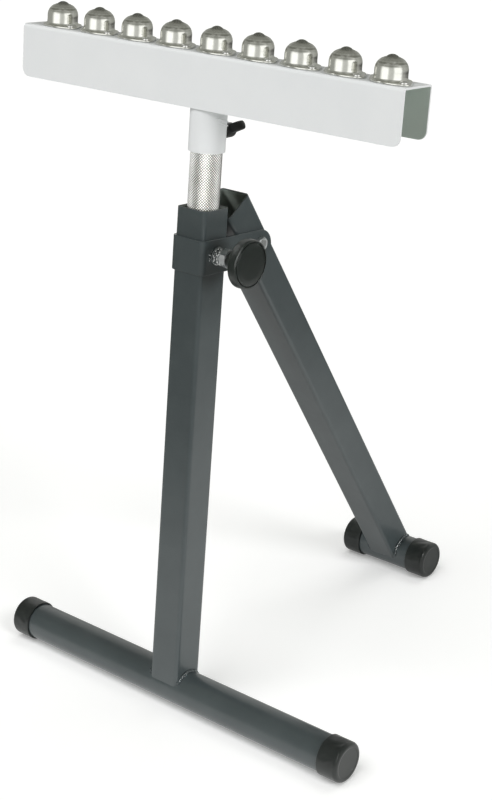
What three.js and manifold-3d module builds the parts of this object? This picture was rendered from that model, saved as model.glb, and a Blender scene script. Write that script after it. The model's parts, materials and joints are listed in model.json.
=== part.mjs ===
// Folding ball-transfer roller stand: a base tube with a leaning square post, a rear
// leg that folds against the post, a round mast that slides in the post and a
// channel-section head that carries a row of ball units.
// Millimetres, +Z up. The origin is on the floor, midway between the base tube and the
// rear foot. +X runs along the base tube, +Y from the base tube to the rear foot.

import * as THREE from 'three';
import { mergeVertices } from 'three/addons/utils/BufferGeometryUtils.js';
import Module from 'manifold-3d';

const wasm = await Module();
wasm.setup();

// ---------------------------------------------------------------- driving dimensions
const GAP = 0.3;                 // clearance kept between neighbouring pieces
const LEAN = 5.8;                // post leans back from the vertical, degrees

const TUBE_R = 20.0;             // base tube and rear foot tube
const TUBE_WALL = 1.5;
const CAP_R = 22.0;              // plastic end caps, they touch the floor
const CAP_LEN = 25.0;
const CAP_END = 3.0;             // thickness of a cap's end wall
const CAP_EDGE = 4.0;            // rounding of a cap's outer edge
const BASE_HALF = 231.5;         // half length of the base over its caps
const FOOT_HALF = 59.5;          // half length of the rear foot over its caps

const POST = 37.4;               // square post
const POST_X = -2.35;            // post stands a little off the base tube's middle
const POST_WALL = 1.2;
const POST_CORNER = 4.0;
const POST_TOP = 526.0;          // along the post, from the base tube's axis

const BRACKET_T = 2.4;           // strap round the post, its ears carry the leg
const BRACKET_LOW = 462.0;
const BRACKET_HIGH = 497.0;
const BRACKET_MID = (BRACKET_LOW + BRACKET_HIGH) / 2;
const EAR_END = 69.2;            // centre of the ears' round ends, behind the post's axis
const PIVOT_Y = 67.0;            // leg pivot behind the post's axis
const PIVOT_Z = 483.4;
const LOCK_Z = 480.3;            // height lock screw, along the post

const LEG = 37.2;                // square rear leg
const LEG_WALL = 1.5;
const LEG_ANGLE = 37.535;        // open angle between leg and post, degrees
const LEG_OFFSET = 1.0;          // pivot hole sits this far behind the leg's centre line

const M8_R = 4.0;                // pivot bolt and wing screw
const M8_FLATS = 13.0;
const M10_R = 5.0;               // height lock screw
const M10_FLATS = 17.0;

const MAST_R = 15.9;
const MAST_WALL = 1.7;
const MAST_BOTTOM = 64.0;
const MAST_TOP = 625.0;

const SOCKET_R = 18.4;
const SOCKET_BORE = 16.4;
const SOCKET_BOTTOM = 581.5;
const WING_Z = 598.8;            // height of the wing screw on the socket
const WING_TURN = 27.0;          // how far its wings are turned, degrees

const HEAD_YAW = 2.5;            // head is swivelled a little on the mast, degrees
const CHANNEL_X = 2.5;           // channel sits a little off the socket's axis
const CHANNEL_Y = 1.8;
const CHANNEL_L = 459.2;
const CHANNEL_SHIFT = -1.1;      // the row of units is not quite in the channel's middle
const CHANNEL_W = 47.0;
const CHANNEL_H = 53.4;          // front flange
const CHANNEL_REAR = 51.6;       // rear flange, a little shorter
const CHANNEL_T = 2.0;
const CHANNEL_BEND = 3.5;        // outer bend radius
const CHANNEL_CORNER = 9.0;      // rounded lower corners of the flanges
const CHANNEL_TOP = 678.0;

const UNITS = 9;
const UNIT_PITCH = 49.7;
const UNIT_HEIGHT = 24.8;        // top of the ball above the channel
const BALL_R = 7.94;
const CUP_R = 15.5;
const FLANGE_R = 19.5;           // round part of a unit's flange
const EAR_X = 21.2;              // its two ears lie across the corner, one fastener each
const EAR_Y = -11.2;
const EAR_R = 6.3;
const RACE_R = 12.7;
const SCREW_R = 1.9;             // self-tapping screws of the flanges
const SCREW_HEAD = 4.0;

const KNOB_R = 25.0;
const KNOB_FRONT = 66.4;         // front of the knob, from the post's axis
const KNOB_BACK = 55.0;
const NECK_R = 7.2;              // round neck of the long nut, welded to the bracket
const NECK_OUT = 31.0;
const NUT_OUT = 38.3;            // outer face of its hexagon

// ---------------------------------------------------------------- derived geometry
const rad = THREE.MathUtils.degToRad;
const sinA = Math.sin(rad(LEG_ANGLE)), cosA = Math.cos(rad(LEG_ANGLE));
const tanL = Math.tan(rad(LEAN));
// Length from the pivot to the foot's axis, so that all four caps stand on the floor.
const LEG_REACH = (PIVOT_Z - LEG_OFFSET * sinA - tanL * (PIVOT_Y - LEG_OFFSET * cosA)) / (cosA + tanL * sinA);
// Length above the pivot, so that the leg's upper front edge stops on the post.
const LEG_TOP = (PIVOT_Y - (POST / 2 + 0.4) - (LEG_OFFSET + LEG / 2) * cosA) / sinA;
const footY = PIVOT_Y + LEG_REACH * sinA - LEG_OFFSET * cosA;
const footZ = PIVOT_Z - LEG_REACH * cosA - LEG_OFFSET * sinA;
const FOOT_SPAN = footY * Math.cos(rad(LEAN)) + footZ * Math.sin(rad(LEAN));

// ---------------------------------------------------------------- solids
// Merge shared vertices, drop collapsed triangles and turn the faces outwards.
function clean(source) {
  const g = source.index ? source.toNonIndexed() : source.clone();
  g.deleteAttribute('normal');
  if (g.getAttribute('uv')) g.deleteAttribute('uv');
  const m = mergeVertices(g, 1e-4);
  const p = m.getAttribute('position');
  const old = m.index.array;
  const tri = [];
  for (let i = 0; i < old.length; i += 3) {
    const a = old[i], b = old[i + 1], c = old[i + 2];
    if (a !== b && b !== c && c !== a) tri.push(a, b, c);
  }
  const va = new THREE.Vector3(), vb = new THREE.Vector3(), vc = new THREE.Vector3();
  let volume = 0;
  for (let i = 0; i < tri.length; i += 3) {
    va.fromBufferAttribute(p, tri[i]);
    vb.fromBufferAttribute(p, tri[i + 1]);
    vc.fromBufferAttribute(p, tri[i + 2]);
    volume += va.dot(vb.cross(vc));
  }
  if (volume < 0) for (let i = 0; i < tri.length; i += 3) [tri[i + 1], tri[i + 2]] = [tri[i + 2], tri[i + 1]];
  const out = new THREE.BufferGeometry();
  out.setAttribute('position', p);
  out.setIndex(tri);
  return out;
}

function solid(geometry) {
  const g = clean(geometry);
  return new wasm.Manifold(new wasm.Mesh({
    numProp: 3,
    vertProperties: new Float32Array(g.getAttribute('position').array),
    triVerts: new Uint32Array(g.index.array),
  }));
}

function geometryOf(manifold) {
  const m = manifold.getMesh();
  const g = new THREE.BufferGeometry();
  g.setAttribute('position', new THREE.BufferAttribute(new Float32Array(m.vertProperties), 3));
  g.setIndex(new THREE.BufferAttribute(new Uint32Array(m.triVerts), 1));
  return g;
}

const V = (x, y) => new THREE.Vector2(x, y);

// Bodies of revolution: profile points are (radius, station along the axis).
function lathe(profile, segments, axis) {
  const g = new THREE.LatheGeometry(profile.map(([r, s]) => V(r, s)), segments);
  if (axis === 'x') g.rotateZ(-Math.PI / 2);
  if (axis === 'z') g.rotateX(Math.PI / 2);
  return clean(g);
}

function ring(outer, inner, from, to, segments, axis) {
  return lathe([[inner, from], [outer, from], [outer, to], [inner, to], [inner, from]], segments, axis);
}

function rod(r, from, to, segments, axis) {
  const g = new THREE.CylinderGeometry(r, r, to - from, segments);
  g.translate(0, (from + to) / 2, 0);
  if (axis === 'x') g.rotateZ(-Math.PI / 2);
  if (axis === 'z') g.rotateX(Math.PI / 2);
  return clean(g);
}

function roundedRect(path, w, h, r) {
  const a = w / 2, b = h / 2;
  path.moveTo(-a + r, -b);
  path.lineTo(a - r, -b);
  path.absarc(a - r, -b + r, r, -Math.PI / 2, 0, false);
  path.lineTo(a, b - r);
  path.absarc(a - r, b - r, r, 0, Math.PI / 2, false);
  path.lineTo(-a + r, b);
  path.absarc(-a + r, b - r, r, Math.PI / 2, Math.PI, false);
  path.lineTo(-a, -b + r);
  path.absarc(-a + r, -b + r, r, Math.PI, Math.PI * 1.5, false);
  return path;
}

function extrude(shape, depth, curveSegments = 2) {
  return new THREE.ExtrudeGeometry(shape, { depth, steps: 1, bevelEnabled: false, curveSegments });
}

// Square tube along Z.
function squareTube(size, wall, corner, from, to) {
  const s = roundedRect(new THREE.Shape(), size, size, corner);
  s.holes.push(roundedRect(new THREE.Path(), size - 2 * wall, size - 2 * wall, corner - wall));
  return clean(extrude(s, to - from).translate(0, 0, from));
}

// Drawing planes: sketch u, v and the extrusion direction w go to these axes.
const toYZX = new THREE.Matrix4().makeBasis(new THREE.Vector3(0, 1, 0), new THREE.Vector3(0, 0, 1), new THREE.Vector3(1, 0, 0));
const toXZ_Y = new THREE.Matrix4().makeBasis(new THREE.Vector3(1, 0, 0), new THREE.Vector3(0, 0, 1), new THREE.Vector3(0, -1, 0));

// ---------------------------------------------------------------- finishes
const finish = (color, roughness, metalness) => new THREE.MeshStandardMaterial({ color, roughness, metalness });
const darkPaint = () => finish(0x50595b, 0.42, 0.25);
const greyPaint = () => finish(0xd9dcdd, 0.45, 0.05);
const plated = () => finish(0xc9c9c4, 0.18, 1.0);
const knurled = () => finish(0xd2d1cc, 0.3, 1.0);
const zinc = () => finish(0xb9bcbb, 0.35, 1.0);
const steelBall = () => finish(0x8b8d8c, 0.12, 1.0);
const plastic = () => finish(0x2f3334, 0.55, 0.0);

function mesh(name, geometry, material, parent) {
  const m = new THREE.Mesh(geometry, material);
  m.name = name;
  parent.add(m);
  return m;
}

// ---------------------------------------------------------------- assembly groups
const stand = new THREE.Group();

const base = new THREE.Group();                       // base tube's axis
base.position.set(0, -FOOT_SPAN / 2, CAP_R);
stand.add(base);

const post = new THREE.Group();                       // z runs up the post
post.position.x = POST_X;
post.rotation.x = -rad(LEAN);
base.add(post);

const leg = new THREE.Group();                        // z runs up the leg, origin at the pivot
leg.position.set(0, PIVOT_Y, PIVOT_Z);
leg.rotation.x = rad(LEG_ANGLE);
post.add(leg);

const foot = new THREE.Group();                       // rear foot's axis
foot.position.set(0, -LEG_OFFSET, -LEG_REACH);
foot.rotation.x = rad(LEAN - LEG_ANGLE);
leg.add(foot);

const head = new THREE.Group();                       // turns on the mast
head.rotation.z = rad(HEAD_YAW);
post.add(head);

const bar = new THREE.Group();                        // channel and ball units
bar.position.set(CHANNEL_X, CHANNEL_Y, 0);
head.add(bar);

// ---------------------------------------------------------------- feet
function capProfile() {
  // Sleeve closed at its outer end, stations measured inwards from the end face.
  const p = [[0, 0], [CAP_R - CAP_EDGE, 0]];
  for (let i = 1; i <= 3; i++) {
    const a = (i / 3) * Math.PI / 2;
    p.push([CAP_R - CAP_EDGE + CAP_EDGE * Math.sin(a), CAP_EDGE - CAP_EDGE * Math.cos(a)]);
  }
  p.push([CAP_R, CAP_LEN], [TUBE_R + GAP, CAP_LEN], [TUBE_R + GAP, CAP_END], [0, CAP_END]);
  return p;
}

function footWithCaps(prefix, tubeName, half, parent) {
  const tubeHalf = half - CAP_END - GAP;
  mesh(tubeName, ring(TUBE_R, TUBE_R - TUBE_WALL, -tubeHalf, tubeHalf, 24, 'x'), darkPaint(), parent);
  const left = lathe(capProfile().map(([r, s]) => [r, -half + s]), 24, 'x');
  const right = lathe(capProfile().map(([r, s]) => [r, half - s]), 24, 'x');
  mesh(prefix + '_cap_left', left, plastic(), parent);
  mesh(prefix + '_cap_right', right, plastic(), parent);
}

footWithCaps('base', 'base_tube', BASE_HALF, base);
footWithCaps('rear', 'rear_foot_tube', FOOT_HALF, foot);

// ---------------------------------------------------------------- post
{
  const tube = solid(squareTube(POST, POST_WALL, POST_CORNER, 4, POST_TOP));
  const cope = solid(rod(TUBE_R + GAP, -60, 60, 28, 'x'));
  const lockHole = solid(rod(M10_R + GAP, 5, 40, 16, 'x').translate(0, 0, LOCK_Z));
  mesh('post_tube', geometryOf(tube.subtract(cope).subtract(lockHole)), darkPaint(), post);
}

// Strap bent round the front and the sides of the post, with round-ended ears behind it.
{
  const i = POST / 2 + GAP, o = i + BRACKET_T, end = EAR_END + 30;
  const ri = POST_CORNER + GAP, ro = ri + BRACKET_T;
  const s = new THREE.Shape();
  s.moveTo(-o, end);
  s.lineTo(-o, -o + ro);
  s.absarc(-o + ro, -o + ro, ro, Math.PI, Math.PI * 1.5, false);
  s.lineTo(o - ro, -o);
  s.absarc(o - ro, -o + ro, ro, Math.PI * 1.5, Math.PI * 2, false);
  s.lineTo(o, end);
  s.lineTo(i, end);
  s.lineTo(i, -i + ri);
  s.absarc(i - ri, -i + ri, ri, 0, -Math.PI / 2, true);
  s.lineTo(-i + ri, -i);
  s.absarc(-i + ri, -i + ri, ri, -Math.PI / 2, -Math.PI, true);
  s.lineTo(-i, end);
  s.closePath();
  const strap = solid(extrude(s, BRACKET_HIGH - BRACKET_LOW).translate(0, 0, BRACKET_LOW));
  const r = (BRACKET_HIGH - BRACKET_LOW) / 2;
  const side = new THREE.Shape();
  side.moveTo(-60, BRACKET_LOW - 0.001);
  side.lineTo(EAR_END, BRACKET_LOW - 0.001);
  side.absarc(EAR_END, BRACKET_MID, r + 0.001, -Math.PI / 2, Math.PI / 2, false);
  side.lineTo(-60, BRACKET_HIGH + 0.001);
  side.closePath();
  const profile = solid(extrude(side, 120, 5).translate(0, 0, -60).applyMatrix4(toYZX));
  const pivotHole = solid(rod(M8_R + GAP, -60, 60, 16, 'x').translate(0, PIVOT_Y, PIVOT_Z));
  const lockHole = solid(rod(M10_R + GAP, 5, 60, 16, 'x').translate(0, 0, LOCK_Z));
  mesh('leg_bracket', geometryOf(strap.intersect(profile).subtract(pivotHole).subtract(lockHole)), darkPaint(), post);
}

const bracketFace = POST / 2 + GAP + BRACKET_T;
const hexR = (flats) => flats / 2 / Math.cos(Math.PI / 6);

// Hexagon nut welded to the bracket, with the height lock screw and its knob.
{
  const neck = solid(rod(NECK_R, bracketFace + GAP, NECK_OUT + 1, 20, 'x'));
  const hex = solid(rod(hexR(M10_FLATS), NECK_OUT, NUT_OUT, 6, 'x'));
  const bore = solid(rod(M10_R + GAP, 0, 80, 16, 'x'));
  mesh('lock_weld_nut', geometryOf(neck.add(hex).subtract(bore)), zinc(), post).position.z = LOCK_Z;

  mesh('lock_screw', rod(M10_R, MAST_R + GAP, KNOB_FRONT - 9, 16, 'x'), zinc(), post).position.z = LOCK_Z;

  const b = M10_R + GAP, hub = 7.6, start = NUT_OUT + 0.7;
  const knob = lathe([
    [0, KNOB_FRONT - 9 + GAP], [b, KNOB_FRONT - 9 + GAP], [b, start], [hub - 1, start], [hub, start + 1.5],
    [hub, KNOB_BACK - 5], [hub + 4, KNOB_BACK - 1.5], [KNOB_R - 2, KNOB_BACK], [KNOB_R, KNOB_BACK + 2],
    [KNOB_R, KNOB_FRONT - 3], [KNOB_R - 2.5, KNOB_FRONT - 0.8], [KNOB_R - 9, KNOB_FRONT], [0, KNOB_FRONT],
  ], 20, 'x');
  mesh('lock_knob', knob, plastic(), post).position.z = LOCK_Z;
}

// Pivot bolt through the ears and the leg, with its lock nut.
{
  const headHex = solid(rod(hexR(M8_FLATS), bracketFace + GAP, bracketFace + GAP + 5.5, 6, 'x'));
  const shank = solid(rod(M8_R, -(bracketFace + 10.5), bracketFace + 2, 16, 'x'));
  mesh('leg_pivot_bolt', geometryOf(headHex.add(shank)), zinc(), post).position.set(0, PIVOT_Y, PIVOT_Z);
  const nut = solid(rod(hexR(M8_FLATS), -(bracketFace + GAP + 8), -(bracketFace + GAP), 6, 'x'));
  const bore = solid(rod(M8_R + GAP, -60, 60, 16, 'x'));
  mesh('leg_pivot_nut', geometryOf(nut.subtract(bore)), zinc(), post).position.set(0, PIVOT_Y, PIVOT_Z);
}

// ---------------------------------------------------------------- rear leg
{
  const tube = solid(squareTube(LEG, LEG_WALL, POST_CORNER, -LEG_REACH + 4, LEG_TOP).translate(0, -LEG_OFFSET, 0));
  const cope = solid(rod(TUBE_R + GAP, -60, 60, 28, 'x').translate(0, -LEG_OFFSET, -LEG_REACH));
  const hole = solid(rod(M8_R + GAP, -60, 60, 16, 'x'));
  mesh('rear_leg_tube', geometryOf(tube.subtract(cope).subtract(hole)), darkPaint(), leg);
}

// ---------------------------------------------------------------- mast
mesh('mast_tube', ring(MAST_R, MAST_R - MAST_WALL, MAST_BOTTOM, MAST_TOP, 24, 'z'), knurled(), post);

// ---------------------------------------------------------------- head
// Inverted channel with rounded lower corners and a hole under each ball unit.
{
  const w = CHANNEL_W / 2, t = CHANNEL_T, R = CHANNEL_BEND, r = R - t;
  const top = CHANNEL_TOP, low = CHANNEL_TOP - CHANNEL_H, rear = CHANNEL_TOP - CHANNEL_REAR;
  const s = new THREE.Shape();
  s.moveTo(w, rear);
  s.lineTo(w, top - R);
  s.absarc(w - R, top - R, R, 0, Math.PI / 2, false);
  s.lineTo(-w + R, top);
  s.absarc(-w + R, top - R, R, Math.PI / 2, Math.PI, false);
  s.lineTo(-w, low);
  s.lineTo(-w + t, low);
  s.lineTo(-w + t, top - R);
  s.absarc(-w + R, top - R, r, Math.PI, Math.PI / 2, true);
  s.lineTo(w - R, top - t);
  s.absarc(w - R, top - R, r, Math.PI / 2, 0, true);
  s.lineTo(w - t, rear);
  s.closePath();
  let channel = solid(extrude(s, CHANNEL_L, 2).translate(0, 0, CHANNEL_SHIFT - CHANNEL_L / 2).applyMatrix4(toYZX));
  const a = CHANNEL_L / 2, c = CHANNEL_CORNER;
  const m = CHANNEL_SHIFT;
  const side = (z, from) => {
    const p = new THREE.Shape();
    p.moveTo(m - a + c, z);
    p.lineTo(m + a - c, z);
    p.absarc(m + a - c, z + c, c, -Math.PI / 2, 0, false);
    p.lineTo(m + a, top + 5);
    p.lineTo(m - a, top + 5);
    p.lineTo(m - a, z + c);
    p.absarc(m - a + c, z + c, c, Math.PI, Math.PI * 1.5, false);
    return solid(extrude(p, 50, 3).translate(0, 0, from).applyMatrix4(toXZ_Y));
  };
  channel = channel.intersect(side(low, 0).add(side(rear, -50)));
  for (let i = 0; i < UNITS; i++) {
    const x = (i - (UNITS - 1) / 2) * UNIT_PITCH;
    channel = channel.subtract(solid(rod(RACE_R + 0.6, top - 10, top + 10, 16, 'z').translate(x, 0, 0)));
    for (const e of [1, -1]) {
      channel = channel.subtract(solid(rod(SCREW_R + GAP, top - 10, top + 10, 10, 'z').translate(x + e * EAR_X, e * EAR_Y, 0)));
    }
  }
  mesh('head_channel', geometryOf(channel), greyPaint(), bar);
}

// Socket welded under the channel, with the wing screw that clamps it on the mast.
{
  const tube = solid(ring(SOCKET_R, SOCKET_BORE, SOCKET_BOTTOM, CHANNEL_TOP - CHANNEL_T - GAP, 24, 'z'));
  const hole = solid(rod(M8_R + GAP, 5, 40, 16, 'y').translate(0, 0, WING_Z));
  mesh('socket_tube', geometryOf(tube.subtract(hole)), greyPaint(), head);

  const nutIn = SOCKET_R + GAP + 0.1, nutOut = nutIn + 3.2;
  const nut = solid(rod(hexR(12.0), nutIn, nutOut, 6, 'y'));
  const bore = solid(rod(M8_R + GAP, 0, 60, 16, 'y'));
  mesh('socket_weld_nut', geometryOf(nut.subtract(bore)), greyPaint(), head).position.z = WING_Z;

  const tip = 38;
  mesh('wing_screw', rod(M8_R, MAST_R + GAP, tip, 16, 'y'), zinc(), head).position.z = WING_Z;

  const b = M8_R + GAP, start = nutOut + 0.6;
  const hub = solid(lathe([
    [0, tip + GAP], [b, tip + GAP], [b, start], [6.9, start], [7.3, start + 1.0],
    [7.0, 38], [5.2, 40.6], [0, 41.4],
  ], 18, 'y'));
  const s = new THREE.Shape();
  s.moveTo(4.5, 28.5);
  s.lineTo(9.5, 29.0);
  s.quadraticCurveTo(15.4, 30.0, 17.2, 34.0);
  s.quadraticCurveTo(17.9, 38.0, 16.4, 40.6);
  s.quadraticCurveTo(14.6, 42.2, 12.0, 41.2);
  s.quadraticCurveTo(9.0, 39.2, 4.5, 39.0);
  s.closePath();
  const wing = () => extrude(s, 8.0, 3).translate(0, 0, -4.0);
  const wings = hub.add(solid(wing())).add(solid(wing().rotateY(Math.PI)));
  const knob = mesh('wing_knob', geometryOf(wings), plastic(), head);
  knob.position.z = WING_Z;
  knob.rotation.y = -rad(WING_TURN);
}

// Ball units: pressed housing with a flange, race held in it, and the load ball.
{
  const ballZ = UNIT_HEIGHT - BALL_R;
  const ear = Math.atan2(EAR_Y, EAR_X);
  const lap = Math.acos((FLANGE_R - EAR_R) / Math.hypot(EAR_X, EAR_Y));
  const plate = new THREE.Shape();
  plate.absarc(EAR_X, EAR_Y, EAR_R, ear - lap, ear + lap, false);
  plate.absarc(0, 0, FLANGE_R, ear + lap, ear + Math.PI - lap, false);
  plate.absarc(-EAR_X, -EAR_Y, EAR_R, ear + Math.PI - lap, ear + Math.PI + lap, false);
  plate.absarc(0, 0, FLANGE_R, ear + Math.PI + lap, ear + 2 * Math.PI - lap, false);
  plate.closePath();
  let flange = solid(extrude(plate, 1.8, 2).translate(0, 0, GAP)).subtract(solid(rod(13.5, -5, 5, 16, 'z')));
  for (const e of [1, -1]) flange = flange.subtract(solid(rod(SCREW_R + GAP, -5, 5, 10, 'z').translate(e * EAR_X, e * EAR_Y, 0)));
  const cup = solid(lathe([
    [13.9, 0.9], [17.4, 0.9], [17.4, 1.9], [16.2, 3.1], [CUP_R, 5.4], [CUP_R, 11.6],
    [15.0, 14.4], [13.8, 17.0], [12.0, 19.1], [9.6, 20.8], [6.5, 22.1], [6.9, 21.2],
    [10.6, 18.6], [13.4, 15.0], [13.9, 12.6], [13.9, 0.9],
  ], 16, 'z'));
  const housing = geometryOf(flange.add(cup));
  const seatR = BALL_R + 0.8;
  const race = [[0, -7], [RACE_R, -7], [RACE_R, 13.4], [11.6, 14.4]];
  for (let i = 0; i <= 4; i++) {
    const a = Math.asin((14.4 - ballZ) / seatR) - (i / 4) * (Math.PI / 2 + Math.asin((14.4 - ballZ) / seatR));
    race.push([i === 4 ? 0 : seatR * Math.cos(a), ballZ + seatR * Math.sin(a)]);
  }
  const seat = lathe(race, 12, 'z');
  const ball = clean(new THREE.SphereGeometry(BALL_R, 12, 8).rotateX(Math.PI / 2));
  // Screw through the front ear of a unit and the channel's top.
  const seatZ = 1.8 + 2 * GAP;
  const screw = lathe([
    [0, -6], [SCREW_R, -5], [SCREW_R, seatZ], [SCREW_HEAD, seatZ], [SCREW_HEAD, seatZ + 1.2], [3.1, seatZ + 2.1], [0, seatZ + 2.4],
  ], 12, 'z');
  for (let i = 0; i < UNITS; i++) {
    const n = i + 1, x = (i - (UNITS - 1) / 2) * UNIT_PITCH;
    mesh('ball_housing_' + n, housing.clone(), plated(), bar).position.set(x, 0, CHANNEL_TOP);
    mesh('ball_race_' + n, seat.clone(), zinc(), bar).position.set(x, 0, CHANNEL_TOP);
    mesh('flange_screw_' + n, screw.clone(), zinc(), bar).position.set(x + EAR_X, EAR_Y, CHANNEL_TOP);
    mesh('load_ball_' + n, ball.clone(), steelBall(), bar).position.set(x, 0, CHANNEL_TOP + ballZ);
  }
}

export default stand;
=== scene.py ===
import json
import math
import random

import bmesh
import bpy
import numpy as np
from mathutils import Matrix, Vector
from mathutils.geometry import delaunay_2d_cdt

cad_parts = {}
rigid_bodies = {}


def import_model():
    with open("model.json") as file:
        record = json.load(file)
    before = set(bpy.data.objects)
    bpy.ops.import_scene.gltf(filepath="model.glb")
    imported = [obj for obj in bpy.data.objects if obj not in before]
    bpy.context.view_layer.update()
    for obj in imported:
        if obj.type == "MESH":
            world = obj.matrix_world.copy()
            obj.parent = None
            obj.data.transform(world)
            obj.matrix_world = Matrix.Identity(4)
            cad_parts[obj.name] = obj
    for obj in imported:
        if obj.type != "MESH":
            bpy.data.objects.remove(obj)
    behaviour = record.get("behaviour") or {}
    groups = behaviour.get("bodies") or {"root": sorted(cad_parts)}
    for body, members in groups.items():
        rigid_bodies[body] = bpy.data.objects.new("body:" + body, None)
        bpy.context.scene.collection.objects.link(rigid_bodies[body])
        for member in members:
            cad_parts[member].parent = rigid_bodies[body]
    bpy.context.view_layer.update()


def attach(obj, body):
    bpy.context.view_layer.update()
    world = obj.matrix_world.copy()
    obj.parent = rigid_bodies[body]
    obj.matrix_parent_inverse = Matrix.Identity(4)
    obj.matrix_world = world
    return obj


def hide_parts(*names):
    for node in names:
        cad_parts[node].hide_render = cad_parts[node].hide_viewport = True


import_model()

# ------------------------------------------------------------------ dimensions, millimetres
MM = 0.001
GAP = 0.3
LEAN = 5.8
TUBE_R, TUBE_WALL = 20.0, 1.5
CAP_R, CAP_LEN, CAP_END = 22.0, 25.0, 3.0
BASE_HALF, FOOT_HALF = 231.5, 59.5
POST, POST_WALL, POST_CORNER, POST_TOP, POST_X = 37.4, 1.2, 4.0, 526.0, -2.35
BRACKET_T, BRACKET_LOW, BRACKET_HIGH = 2.4, 462.0, 497.0
BRACKET_MID = (BRACKET_LOW + BRACKET_HIGH) / 2
EAR_END, PIVOT_Y, PIVOT_Z, LOCK_Z = 69.2, 67.0, 483.4, 480.3
LEG, LEG_WALL, LEG_ANGLE, LEG_OFFSET = 37.2, 1.5, 37.535, 1.0
MAST_R, MAST_WALL, MAST_BOTTOM, MAST_TOP = 15.9, 1.7, 64.0, 625.0
SOCKET_R, SOCKET_BORE, SOCKET_BOTTOM = 18.4, 16.4, 581.5
WING_Z, WING_TURN = 598.8, 27.0
HEAD_YAW, CHANNEL_X, CHANNEL_Y = 2.5, 2.5, 1.8
CHANNEL_L, CHANNEL_W, CHANNEL_H, CHANNEL_T, CHANNEL_SHIFT = 459.2, 47.0, 53.4, 2.0, -1.1
CHANNEL_REAR = 51.6
CHANNEL_BEND, CHANNEL_CORNER, CHANNEL_TOP = 3.5, 9.0, 678.0
UNITS, UNIT_PITCH, UNIT_HEIGHT = 9, 49.7, 24.8
BALL_R, CUP_R, RACE_R = 7.94, 15.5, 12.7
FLANGE_R, EAR_X, EAR_Y, EAR_R = 19.5, 21.2, -11.2, 6.3
KNOB_R, KNOB_FRONT, KNOB_BACK, HUB_R = 25.0, 66.4, 55.0, 7.6
NECK_R, NECK_OUT, NUT_OUT = 7.2, 31.0, 38.3

rad = math.radians
_sa, _ca, _tl = math.sin(rad(LEG_ANGLE)), math.cos(rad(LEG_ANGLE)), math.tan(rad(LEAN))
LEG_REACH = (PIVOT_Z - LEG_OFFSET * _sa - _tl * (PIVOT_Y - LEG_OFFSET * _ca)) / (_ca + _tl * _sa)
LEG_TOP = (PIVOT_Y - (POST / 2 + 0.4) - (LEG_OFFSET + LEG / 2) * _ca) / _sa
_fy = PIVOT_Y + LEG_REACH * _sa - LEG_OFFSET * _ca
_fz = PIVOT_Z - LEG_REACH * _ca - LEG_OFFSET * _sa
FOOT_SPAN = _fy * math.cos(rad(LEAN)) + _fz * math.sin(rad(LEAN))


def shift(x, y, z):
    return Matrix.Translation((x * MM, y * MM, z * MM))


def turn(degrees, axis):
    return Matrix.Rotation(rad(degrees), 4, axis)


BASE_F = shift(0, -FOOT_SPAN / 2, CAP_R)
POST_F = BASE_F @ shift(POST_X, 0, 0) @ turn(-LEAN, "X")
LEG_F = POST_F @ shift(0, PIVOT_Y, PIVOT_Z) @ turn(LEG_ANGLE, "X")
FOOT_F = LEG_F @ shift(0, -LEG_OFFSET, -LEG_REACH) @ turn(LEAN - LEG_ANGLE, "X")
HEAD_F = POST_F @ turn(HEAD_YAW, "Z")
BAR_F = HEAD_F @ shift(CHANNEL_X, CHANNEL_Y, 0)


# ------------------------------------------------------------------ materials
def new_material(name):
    m = bpy.data.materials.new(name)
    m.use_nodes = True
    nt = m.node_tree
    nt.nodes.clear()
    out = nt.nodes.new("ShaderNodeOutputMaterial")
    bsdf = nt.nodes.new("ShaderNodeBsdfPrincipled")
    nt.links.new(bsdf.outputs["BSDF"], out.inputs["Surface"])
    coords = nt.nodes.new("ShaderNodeTexCoord")
    return m, nt, bsdf, coords.outputs["Object"]


def noise(nt, where, scale, detail=3.0, rough=0.55, stretch=None):
    if stretch:
        mp = nt.nodes.new("ShaderNodeMapping")
        mp.inputs["Scale"].default_value = stretch
        nt.links.new(where, mp.inputs["Vector"])
        where = mp.outputs["Vector"]
    n = nt.nodes.new("ShaderNodeTexNoise")
    n.inputs["Scale"].default_value = scale
    n.inputs["Detail"].default_value = detail
    n.inputs["Roughness"].default_value = rough
    nt.links.new(where, n.inputs["Vector"])
    return n.outputs["Fac"]


def ramp(nt, fac, stops, interpolation="LINEAR"):
    r = nt.nodes.new("ShaderNodeValToRGB")
    r.color_ramp.interpolation = interpolation
    e = r.color_ramp.elements
    while len(e) < len(stops):
        e.new(0.5)
    for el, (pos, col) in zip(e, stops):
        el.position = pos
        el.color = (*col, 1.0)
    nt.links.new(fac, r.inputs["Fac"])
    return r.outputs["Color"]


def span(nt, fac, a, b, lo, hi):
    r = nt.nodes.new("ShaderNodeMapRange")
    r.inputs["From Min"].default_value = a
    r.inputs["From Max"].default_value = b
    r.inputs["To Min"].default_value = lo
    r.inputs["To Max"].default_value = hi
    nt.links.new(fac, r.inputs["Value"])
    return r.outputs["Result"]


def blend_colour(nt, fac, a, b):
    m = nt.nodes.new("ShaderNodeMix")
    m.data_type = "RGBA"
    m.clamp_factor = True
    nt.links.new(fac, m.inputs[0])
    for sock, val in ((m.inputs[6], a), (m.inputs[7], b)):
        if isinstance(val, tuple):
            sock.default_value = (*val, 1.0)
        else:
            nt.links.new(val, sock)
    return m.outputs[2]


def bump(nt, bsdf, layers):
    """layers: (height, strength, distance in mm), from the finest to the broadest."""
    last = None
    for height, strength, distance in layers:
        b = nt.nodes.new("ShaderNodeBump")
        b.inputs["Strength"].default_value = strength
        b.inputs["Distance"].default_value = distance * MM
        nt.links.new(height, b.inputs["Height"])
        if last is not None:
            nt.links.new(last, b.inputs["Normal"])
        last = b.outputs["Normal"]
    nt.links.new(last, bsdf.inputs["Normal"])


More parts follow.
